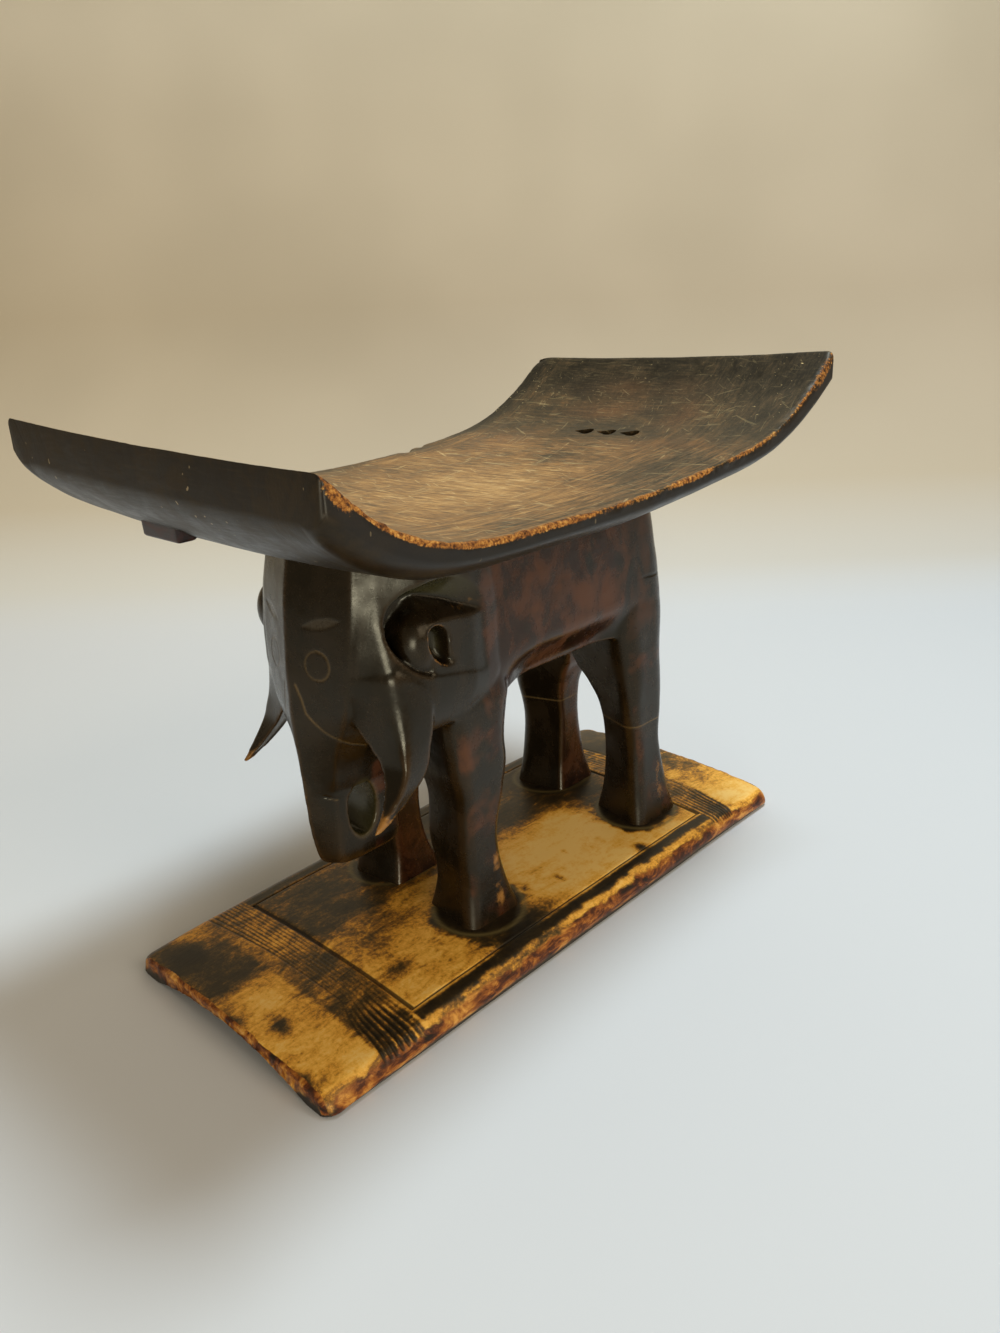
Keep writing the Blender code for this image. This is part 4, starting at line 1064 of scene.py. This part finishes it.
def make_elephant():
    """The elephant: members grown together, rubbed down and face cut; wear, shade and highlights painted."""
    neck = block_neck()
    body = block_body()
    head, trunk = block_head()
    members = [neck, trunk, cleared(body), cleared(head)]
    for side_name, side in (("right", 1), ("left", -1)):
        members.append(block_leg(f"front_leg_{side_name}", side, FRONT_LEG_Y, FRONT_LEG_SHARES, 3, 10))
        members.append(block_leg(f"rear_leg_{side_name}", side, REAR_LEG_Y, REAR_LEG_SHARES, 8, 14))
        members.append(block_tusk(f"tusk_{side_name}", side))
    members.append(egg("left_ear_bulge", LEFT_BULGE, LEFT_BULGE_RADII))
    mesh = grow_together("carved_elephant", members)
    rub_down(mesh, SKIN_RUBS)
    ring, brow, smile, split = cut_face(mesh)
    places, normals = points_of(mesh)
    mm = places / MM
    x, y, z = mm.T
    sharp = how_sharp(mesh, SHARP_REACH)
    tool = drift(places, 16 * MM, 21) * 0.22 + drift(places, 7 * MM, 22) * 0.07
    move_points(mesh, places + normals * (tool * ease(z, 30, 45))[:, None] * MM)
    rag = drift(places, 18 * MM, 23, 3)
    out = ease(np.abs(normals[:, 0]), 0.5, 0.8)
    flank = out * ease(z, 150, 215) * ease(y, -75, -55)
    red = flank * (0.55 + 0.45 * rag) * ease(y, 110, 60) + 0.35 * flank
    legs = ease(z, 200, 170) * ease(y, -136, -126)
    red = np.maximum(red, legs * out * (0.40 + 0.45 * rag))
    inner = ease(-normals[:, 0] * np.sign(x), 0.4, 0.8) * legs
    red = np.maximum(red, inner * 0.8)
    paint(mesh, "red", red)
    near = np.abs(x + 1.2) > 50
    profile = np.stack([y, z], 1)
    carved_ear = ease(within(profile, EAR_RIM), -4, -1) * near
    # Convex edges are painted paler, held back round the ears: partly worn wood, partly a painted highlight.
    edge = ease(sharp, 0.10, 0.55) * (1 - 0.8 * carved_ear)
    # Hollows and creases are painted darker as painted shade; the splits are painted dark as cut lines.
    hollow = ease(-sharp, 0.10, 0.5)
    rub_and_lit_ledge = edge * 0.35 * ease(rag, -0.5, 0.6)
    corners = 0.85 * np.exp(-((y + 55) / 7) ** 2) + 0.6 * np.exp(-((y - 147) / 7) ** 2)
    corners = corners * ease(z, 24, 34) * ease(z, 92, 60) * ease(x, 50, 58)
    rub_and_lit_ledge = np.maximum(rub_and_lit_ledge, corners * (0.75 + 0.5 * rag))
    tips = ease(z, 172, 150) * (y < -140) * (np.abs(x) > 60)
    rub_and_lit_ledge = np.maximum(rub_and_lit_ledge, tips * (0.30 + 0.5 * edge))
    pit_rim = np.exp(-((within(profile, PIT_EDGE) + 0.8) / 1.3) ** 2) * ease(y, -96, -104) * near
    # The ear lobe's upper ledge is painted as rubbed wood: partly wear, partly a painted highlight for the
    # light it catches.
    ledge_wear_and_light = spot(y, z, -80, 276, 18, 6) * near
    behind = spot(y, z, -50, 252, 9, 24) * out
    belly = spot(y, z, 0, 205, 90, 10) * out
    loose = ease(rag, -0.5, 0.6)
    rub_and_lit_ledge = np.maximum(rub_and_lit_ledge, 0.55 * pit_rim + 0.42 * ledge_wear_and_light + 0.34 * behind * loose + 0.32 * belly * loose)
    paint(mesh, "rub_and_lit_ledge", rub_and_lit_ledge)
    # Olive in the pit and the trunk's curl; on the ear hollow's upper wall the olive is a painted highlight
    # for the light that wall catches.
    lit_upper_wall = spot(y, z, -108, 290, 34, 12) * near * ease(-normals[:, 2], -0.1, 0.4)
    paint(mesh, "olive_and_lit_ear_wall", lit_upper_wall + 0.8 * ease(within(profile, PIT_EDGE), 1, 4) * near
          + ease(np.hypot(y + 138, (z - 131) / 1.9), 13.5, 10.5) * (np.abs(x) < 50))
    paint(mesh, "edge", edge)
    paint(mesh, "hollow", np.maximum(hollow, split))
    line = np.maximum(ring * 0.55, smile * (0.35 + 0.4 * ease(np.abs(x), 26, 12) * ease(rag, -0.4, 0.5)))
    for side in (1, -1):
        line = np.maximum(line, along_line(mm * (side, 1, 1), TRUNK_FOLD, 0.9) * 0.5)
    seam = ease(np.abs(z - 110.5 - 0.02 * (x + y)), 0.9, 0.2) * (y > 90) * 0.6
    line = np.maximum(line, seam)
    paint(mesh, "line", line)
    paint(mesh, "brow", brow)
    mesh.shade_smooth()

    look = Finish("dark_carved_wood", 0.34, (1.0, 0.90, 0.70))
    grit = look.speckle(0.0045, detail=4, rough=0.65)
    cloud = look.speckle(0.028, (1, 1, 1.4), 4, 0.6, 0.4)
    grain = look.speckle(0.0014, (1, 26, 1), 3, 0.6)
    dark = look.blend(look.rise(cloud, 0.35, 0.65), "120c04", "20160a")
    warm = look.blend(look.rise(cloud, 0.38, 0.66), "23110a", "4d2a14")
    warmth = look.rise(look.ragged(look.painted("red"), cloud, 0.9), 0.25, 0.75)
    # The pale brown on convex edges is partly wear, partly a painted highlight.
    base = look.coat(look.blend(warmth, dark, warm), "edge", 0.30, "5a4025")
    base = look.blend(look.times(look.rise(grain, 0.55, 0.8), 0.30), base, "120b06")
    # Rubbed wood, with a painted highlight on the ear's ledge.
    worn = look.rise(look.ragged(look.painted("rub_and_lit_ledge"), grit, 0.9), 0.35, 0.75)
    base = look.blend(worn, base, look.blend(cloud, "74451a", "ab7a3a"))
    # Olive in the pit and the trunk's curl with a painted highlight on the ear's upper wall, pale cut lines,
    # the brows, and painted shade in hollows.
    for name, share, colour in (("olive_and_lit_ear_wall", 0.75, "3d3820"), ("line", 0.75, "85693f"),
                                ("brow", 0.45, "4b4032"), ("hollow", 0.6, "0d0905")):
        base = look.coat(base, name, share, colour)
    look.set("Base Color", base)
    look.set("Roughness", look.rise(look.sum(cloud, grit, 0.5), 0.4, 1.0, 0.16, 0.34))
    look.relief(look.sum(look.times(grain, 0.6), grit, 0.5), 0.25 * MM, 0.35)
    mesh.materials.clear()
    mesh.materials.append(look.material)
    add_piece("carved_elephant", mesh, "dark_wood", "torso", "head", "trunk_curl", "tusk_right", "tusk_left",
              "ear_right", "ear_left", "leg_front_right", "leg_front_left", "leg_rear_right",
              "leg_rear_left")


make_elephant()


# The seat
#
# The seat is a thick plank of the same block, nearly flat in the middle and curled up at both ends,
# with a small twist from drying. Three drop-shaped holes pierce it behind the rump. Sitters have
# rubbed the middle to a pale tan with fine scratches, and its long rims are chipped to bare wood.

SEAT_SIDE = 150 * MM
SEAT_DISH = 2.5 * MM
SEAT_TIP_GAIN = 12 * MM
SEAT_END_SKEW = 7 * MM
SEAT_FAR_REACH = 5 * MM
SEAT_FAR_LIFT = 5 * MM
SEAT_END_ROUND = 9 * MM
SEAT_BEVEL = 18 * MM
SEAT_BEVEL_DROP = 11 * MM
SEAT_KEEL = 6 * MM
SEAT_EASE = 1.6 * MM
SEAT_SKEW = 1.6 * DEGREE
SEAT_LEAN = 9 * MM
SEAT_TWIST = 7.7 * MM
SEAT_TIP_EASE = 2.8 * MM
SEAT_TOP_EASE = 1.3 * MM
SEAT_SWELL = 2.2 * MM
SEAT_TIP_SWELL = 14 * MM
HOLE_LENGTH = 18.5 * MM
HOLE_WIDTH = 11 * MM
HOLE_Y = SEAT_HALF - 94 * MM
HOLE_PLACES = (-24 * MM, -1 * MM, 22.5 * MM)
# One side of a piercing, as shares of its length and its width
DROP_SHAPE = ((0.0, 0.0), (0.12, 0.10), (0.35, 0.26), (0.62, 0.46), (0.75, 0.50), (0.87, 0.46), (0.96, 0.29),
              (1.0, 0.0))
# Where the corners are worn round, where the near tips are down to bare wood, where sitting has worn the
# top or left it dark, and where it is rusty brown: centre and half-sizes in millimetres, and by how much
SEAT_CORNERS = ((-151, 261, 9, 7, 4.0), (151, -261, 6, 6, 1.5))
SEAT_TIPS = ((149, -252, 14, 10, 0.8), (149, 244, 6, 22, 0.6))
SEAT_WEAR = ((25, -20, 70, 80, 0.20), (-60, 30, 80, 90, 0.08), (10, -110, 120, 60, 0.06),
             (110, 75, 45, 60, -0.20), (6, 104, 22, 22, -0.16))
SEAT_RUST = ((48, 196, 16, 16, 0.8), (-28, 200, 34, 13, 0.7), (70, 140, 40, 18, 0.5),
             (-90, 120, 30, 40, 0.4), (-10, 228, 60, 10, 0.35))


def seat_lean(y):
    """How steeply the seat leans sideways."""
    along = y / SEAT_HALF
    return (SEAT_LEAN * (1 - along ** 2) + SEAT_TWIST * along) / (2 * SEAT_SIDE)


def seat_rows():
    """The seat's rings from front to rear, before it is turned and lifted into place."""
    ends = np.array([0, 0.3, 0.8, 1.6, 2.6, 3.9, 5.4, 7.1]) * MM
    inner = spread([(-SEAT_HALF + 9 * MM, 1.8 * MM), (SEAT_HALF - 9 * MM, 0)])
    alongs = np.concatenate([-SEAT_HALF + ends, inner, SEAT_HALF - ends[::-1]])
    shares = spread([(-1, 0.006), (-0.95, 0.0135), (0.95, 0.006), (1, 0)])
    turns = np.array([math.pi / 2 * step / 5 for step in range(1, 6)])
    rings = []
    for y in alongs:
        curl = (abs(y) / SEAT_HALF) ** 4
        rim = SEAT_RIM + SEAT_TIP_GAIN * curl
        bevel = rim + SEAT_BEVEL_DROP * (1 + 0.1 * curl)
        keel = SEAT_KEEL * (1 - 0.8 * curl)
        end_round = SEAT_TOP_EASE * (1 - min((SEAT_HALF - abs(y)) / (2.4 * MM), 1)) ** 2
        into = 1 - min((SEAT_HALF - abs(y)) / SEAT_END_ROUND, 1)
        lower_round = 0.75 * SEAT_END_ROUND * (1 - math.sqrt(1 - into ** 2))
        half = SEAT_SIDE - 1.2 * end_round
        eased = SEAT_EASE + SEAT_TIP_EASE * curl ** 3
        x = shares * (half - eased)
        dish = SEAT_DISH * np.interp(np.abs(shares), (0, 0.5, 0.8, 1), (1, 0.75, 0.36, 0))
        top = np.stack([x, dish + end_round], 1)
        side = [(half - eased * (1 - math.sin(t)), eased * (1 - math.cos(t)) + end_round) for t in turns]
        for step in range(1, 7):
            side.append((half, eased + (rim - eased) * step / 6))
        swell = SEAT_SWELL * (1 - curl) + SEAT_TIP_SWELL * curl
        for step in range(1, 8):
            share = step / 8
            fall = (bevel - rim) * share ** 0.8 + swell * share * (1 - share)
            side.append((half - SEAT_BEVEL * share, rim + fall - lower_round * share))
        side = np.array(side)
        bulge = keel * np.interp(np.abs(shares[::-1]), (0, 0.34, 0.68, 1), (1, 0.9, 0.6, 0))
        under = np.stack([shares[::-1] * (half - SEAT_BEVEL), bevel + bulge - lower_round], 1)
        ring = np.concatenate([top, side, under, side[::-1] * (-1, 1)])
        share = (ring[:, 0] / SEAT_SIDE + 1) / 2
        near = float(ease(-y, 120 * MM, SEAT_HALF))
        far = float(ease(y, 150 * MM, SEAT_HALF))
        lift = far * SEAT_FAR_LIFT * (0.6 + 0.8 * share)
        height = seat_rise(y) - ring[:, 1] + seat_lean(y) * ring[:, 0] + lift
        moved = y + near * SEAT_END_SKEW * share + far * SEAT_FAR_REACH * share
        rings.append(np.stack([ring[:, 0], moved, height], 1))
    return np.array(rings), len(shares)


def in_place(local):
    """Seat points turned and lifted into place."""
    c, s = math.cos(SEAT_SKEW), math.sin(SEAT_SKEW)
    x, y, z = local.T
    return np.stack([c * x - s * y, s * x + c * y, z + SEAT_LOW], 1)


def as_drawn(places):
    """The same points before they were turned and lifted."""
    c, s = math.cos(SEAT_SKEW), math.sin(SEAT_SKEW)
    x, y, z = places.T
    return np.stack([c * x + s * y, -s * x + c * y, z - SEAT_LOW], 1)


def make_seat():
    """The seat: pierced, rims crumbled; worn, bare and scratched parts painted, with a reflection and glints.
    """
    rows, top_count = seat_rows()
    mesh = wrap("seat_board", rows, top_count)
    places, _ = points_of(mesh)
    move_points(mesh, in_place(places))
    seat = show("seat_board", mesh)
    for middle in HOLE_PLACES:
        outline = [((along - 0.5) * HOLE_LENGTH, across * HOLE_WIDTH) for along, across in DROP_SHAPE]
        outline += [(along, -across) for along, across in reversed(outline[1:-1])]
        rings = []
        for z in (-40 * MM, seat_rise(HOLE_Y) + 12 * MM):
            ring = np.array([(middle + along, HOLE_Y + across, z) for along, across in outline])
            rings.append([tuple(point) for point in in_place(ring)])
        carve(seat, blocked_out("hole", rings))
    mesh = mesh_of(seat)
    mesh.shade_smooth()
    mesh.set_sharp_from_angle(angle=50 * DEGREE)
    places, normals = points_of(mesh)
    x, y, z = as_drawn(places).T / MM
    share = (x * MM / SEAT_SIDE + 1) / 2
    y = y - ease(-y, 120, 253) * SEAT_END_SKEW / MM * share - ease(y, 150, 265) * SEAT_FAR_REACH / MM * share
    lifted = ease(y, 150, 260) * SEAT_FAR_LIFT / MM * (0.6 + 0.8 * share)
    drop = (seat_rise(y * MM) + seat_lean(y * MM) * x * MM) / MM + lifted - z
    rim = ease(np.abs(x), 143.5, 149.3) * ease(drop, 6.5, 1.5)
    end_rim = ease(np.abs(y), 255.5, 259.5) * ease(drop, 6.5, 1.0)
    crumbs = drift(places, 3.6 * MM, 31, 2) * 0.6 + drift(places, 12 * MM, 32) * 0.6
    near_side = ease(x, 100, 140)
    lost = rim * (0.25 + 0.75 * near_side) * (0.35 + crumbs) * 0.95
    lost += end_rim * (0.1 + 0.6 * np.maximum(crumbs, 0)) * 0.7
    notch = 5.0 * spot(x, y, -151, 74, 6, 4.5) * (drop < 14) + 2.2 * spot(x, y, -151, 92, 5, 3) * (drop < 12)
    hand = 0.35 * drift(places, (38 * MM, 70 * MM, 60 * MM), 33) + 0.12 * drift(places, 14 * MM, 34)
    gone = np.maximum(lost, -0.2) + notch + spots(x, y, SEAT_CORNERS) - hand
    moved = as_drawn(places - normals * gone[:, None] * MM)
    moved[:, 0] = np.clip(moved[:, 0], -SEAT_SIDE, SEAT_SIDE)
    move_points(mesh, in_place(moved))

    rag = drift(places, 34 * MM, 35, 3)
    on_top = ease(normals[:, 2], 0.3, 0.6) * ease(drop, 9, 5) * ease(normals[:, 1] * np.sign(y), 0.3, 0.05)
    paint(mesh, "vivid", 1 - 0.55 * ease(y, 110, 175))
    worn = 0.44 + spots(x, y, SEAT_WEAR)
    worn -= 0.24 * ease(y, 118, 175) + 0.10 * ease(y, 205, 245)
    worn -= 0.06 * ease(x, 90, 140) + 0.22 * ease(x, -128, -150)
    worn += 0.06 * rag
    paint(mesh, "worn", worn * on_top)
    paint(mesh, "rusty", spots(x, y, SEAT_RUST) * (0.75 + 0.5 * rag))
    paint(mesh, "turned", ease(x + 0.12 * y, 52, 84) + ease(x, -105, -125))
    # Pale specks at the far end, denser toward the rims: partly real specks, partly a painted highlight along
    # the far rims.
    paint(mesh, "specks_and_rim_highlight", ease(y, 165, 215) * (0.25 + 0.9 * ease(np.abs(x), 85, 140)))
    long_rim = rim * (0.30 + 0.75 * near_side) * (0.80 + 0.35 * rag) * (1 - 0.38 * ease(y, 10, 130))
    tips = spots(x, y, SEAT_TIPS) * ease(drop, 16, 6)
    bare = np.maximum(long_rim, tips * ease(np.abs(x), 140, 148))
    paint(mesh, "bare", bare + end_rim * 0.30 * ease(crumbs, 0.0, 0.6))
    paint(mesh, "top", on_top)
    # The long side faces are painted a cool grey: a painted reflection of the pale floor.
    paint(mesh, "side", ease(np.abs(x), 146, 148.5) * ease(drop, 2, 5) * ease(drop, 22, 14))

    look = Finish("worn_seat_wood", 0.32, (1.0, 0.88, 0.70))
    across = look.speckle(0.0035, (9, 1, 3), 5, 0.7, 0.9)
    along = look.speckle(0.0035, (1, 9, 3), 5, 0.7, 0.5)
    figure = look.blend(look.painted("turned"), across, along)
    hair_across = look.speckle(0.0012, (16, 1, 3), 3, 0.6, 0.8)
    hair_along = look.speckle(0.0012, (1, 24, 3), 3, 0.6)
    hair = look.blend(look.painted("turned"), hair_across, hair_along)
    cloud = look.speckle(0.018, (1, 1.8, 1), 5, 0.68, 0.6)
    grit = look.speckle(0.0026, detail=5, rough=0.75)
    vivid = look.painted("vivid")
    share = look.sum(look.painted("worn"), look.times(look.sum(figure, -0.5), vivid), 1.2)
    share = look.sum(share, look.times(look.sum(hair, -0.5), vivid), 0.85)
    share = look.ragged(look.ragged(share, cloud, 0.45), grit, 0.35)
    top = look.ramp(share, ((0.0, "1a1710"), (0.14, "342c1e"), (0.28, "55432c"), (0.42, "765634"),
                            (0.60, "9a7143"), (0.78, "bd9159"), (1.0, "e0bf86")))
    top = look.blend(look.times(look.painted("rusty"), look.rise(grit, 0.3, 0.6, 0.35, 0.8)), top, "7d4f2c")
    # Pale specks: partly real, partly a painted highlight near the far rims.
    specks_and_highlight = look.rise(look.speckle(0.0016, (2.2, 1, 1), 2, 0.5), 0.70, 0.76)
    specks_and_highlight = look.times(specks_and_highlight, look.painted("specks_and_rim_highlight"))
    scratch = look.rise(look.speckle(0.0030, (13, 1, 3), 1, 0.5, 1.6), 0.66, 0.72, 0, 0.8)
    for turn in (28 * DEGREE, -34 * DEGREE, 75 * DEGREE):
        slant = look.speckle(0.0026, (16, 1, 3), 1, 0.5, 1.2, turn)
        scratch = look.sum(scratch, look.rise(slant, 0.70, 0.75, 0, 0.8))
    top = look.blend(look.sum(specks_and_highlight, look.times(scratch, look.painted("worn"))), top, "f0d598")
    body = look.blend(look.rise(cloud, 0.4, 0.65), "150d03", "261a07")
    body = look.blend(look.rise(look.speckle(0.0016, (26, 1, 1), 3, 0.6), 0.5, 0.8, 0, 0.4), body, "332612")
    chips = look.rise(look.speckle(0.004, (1, 1, 1.8), 1, 0.5), 0.765, 0.78)
    body = look.blend(look.times(chips, 0.5), body, "b9a077")
    base = look.blend(look.painted("top"), body, top)
    # Painted reflection: the long side faces go over to a cool grey.
    base = look.coat(base, "side", 0.6, "1b1b1d")
    bare = look.ramp(look.ragged(grit, figure, 0.5),
                     ((0.34, "241006"), (0.46, "70401a"), (0.58, "ad7230"), (0.72, "cfa056")))
    share = look.rise(look.ragged(look.painted("bare"), grit, 0.9), 0.42, 0.62)
    base = look.blend(share, base, bare)
    look.set("Base Color", base)
    smooth = look.rise(look.sum(cloud, hair, 0.5), 0.4, 1.0, 0.30, 0.48)
    look.set("Roughness", look.sum(smooth, share, 0.35))
    look.relief(look.sum(look.times(hair, 0.6), grit, 0.5), 0.25 * MM, 0.4)
    mesh.materials.clear()
    mesh.materials.append(look.material)
    add_piece("seat_board", mesh, "worn_seat", "seat")


make_seat()


# The block under the front rim
#
# A small squared block was left standing under the front end of the seat, on the far side of its
# middle. It is part of the seat's wood and as dark as the underside.

LUG_X = -49 * MM
LUG_Y = 42 * MM - SEAT_HALF
LUG_HALF_X = 20 * MM
LUG_HALF_Y = 7 * MM
LUG_LOW = SEAT_RIM + SEAT_BEVEL_DROP + SEAT_KEEL + 8 * MM
# How far down each ring of the block lies, and by how much it is drawn in
LUG_RINGS = ((LUG_LOW, 1.6 * MM), (LUG_LOW - 0.6 * MM, 0.6 * MM), (LUG_LOW - 1.8 * MM, 0),
             (SEAT_RIM, -1 * MM))


def make_lug():
    """The block, its corners eased with a knife."""
    rings = []
    for drop, inset in LUG_RINGS:
        height = seat_rise(LUG_Y) - drop + seat_lean(LUG_Y) * LUG_X
        half_x, half_y = LUG_HALF_X - inset, LUG_HALF_Y - inset
        corners = [(LUG_X + across * half_x, LUG_Y + along * half_y)
                   for across, along in ((-1, -1), (1, -1), (1, 1), (-1, 1))]
        outline = rounded(corners, [1.8 * MM] * 4, 5, (12, 4, 12, 4))
        ring = np.array([(px, py, height) for px, py in outline])
        rings.append([tuple(point) for point in in_place(ring)])
    mesh = mesh_of(blocked_out("lug_block", rings))
    mesh.shade_smooth()
    mesh.set_sharp_from_angle(angle=40 * DEGREE)
    look = Finish("dark_lug_wood", 0.35)
    cloud = look.speckle(0.012, (2, 1, 1), 4, 0.6, 0.4)
    grain = look.speckle(0.0015, (12, 1, 1), 3, 0.6)
    base = look.blend(look.rise(cloud, 0.4, 0.65), "1d100a", "3a1c10")
    base = look.blend(look.rise(grain, 0.55, 0.8, 0, 0.4), base, "120a06")
    look.set("Base Color", base)
    look.set("Roughness", look.rise(cloud, 0.3, 0.7, 0.28, 0.42))
    look.relief(grain, 0.2 * MM, 0.4)
    mesh.materials.append(look.material)
    add_piece("lug_block", mesh, "dark_wood", "seat_lug")


make_lug()
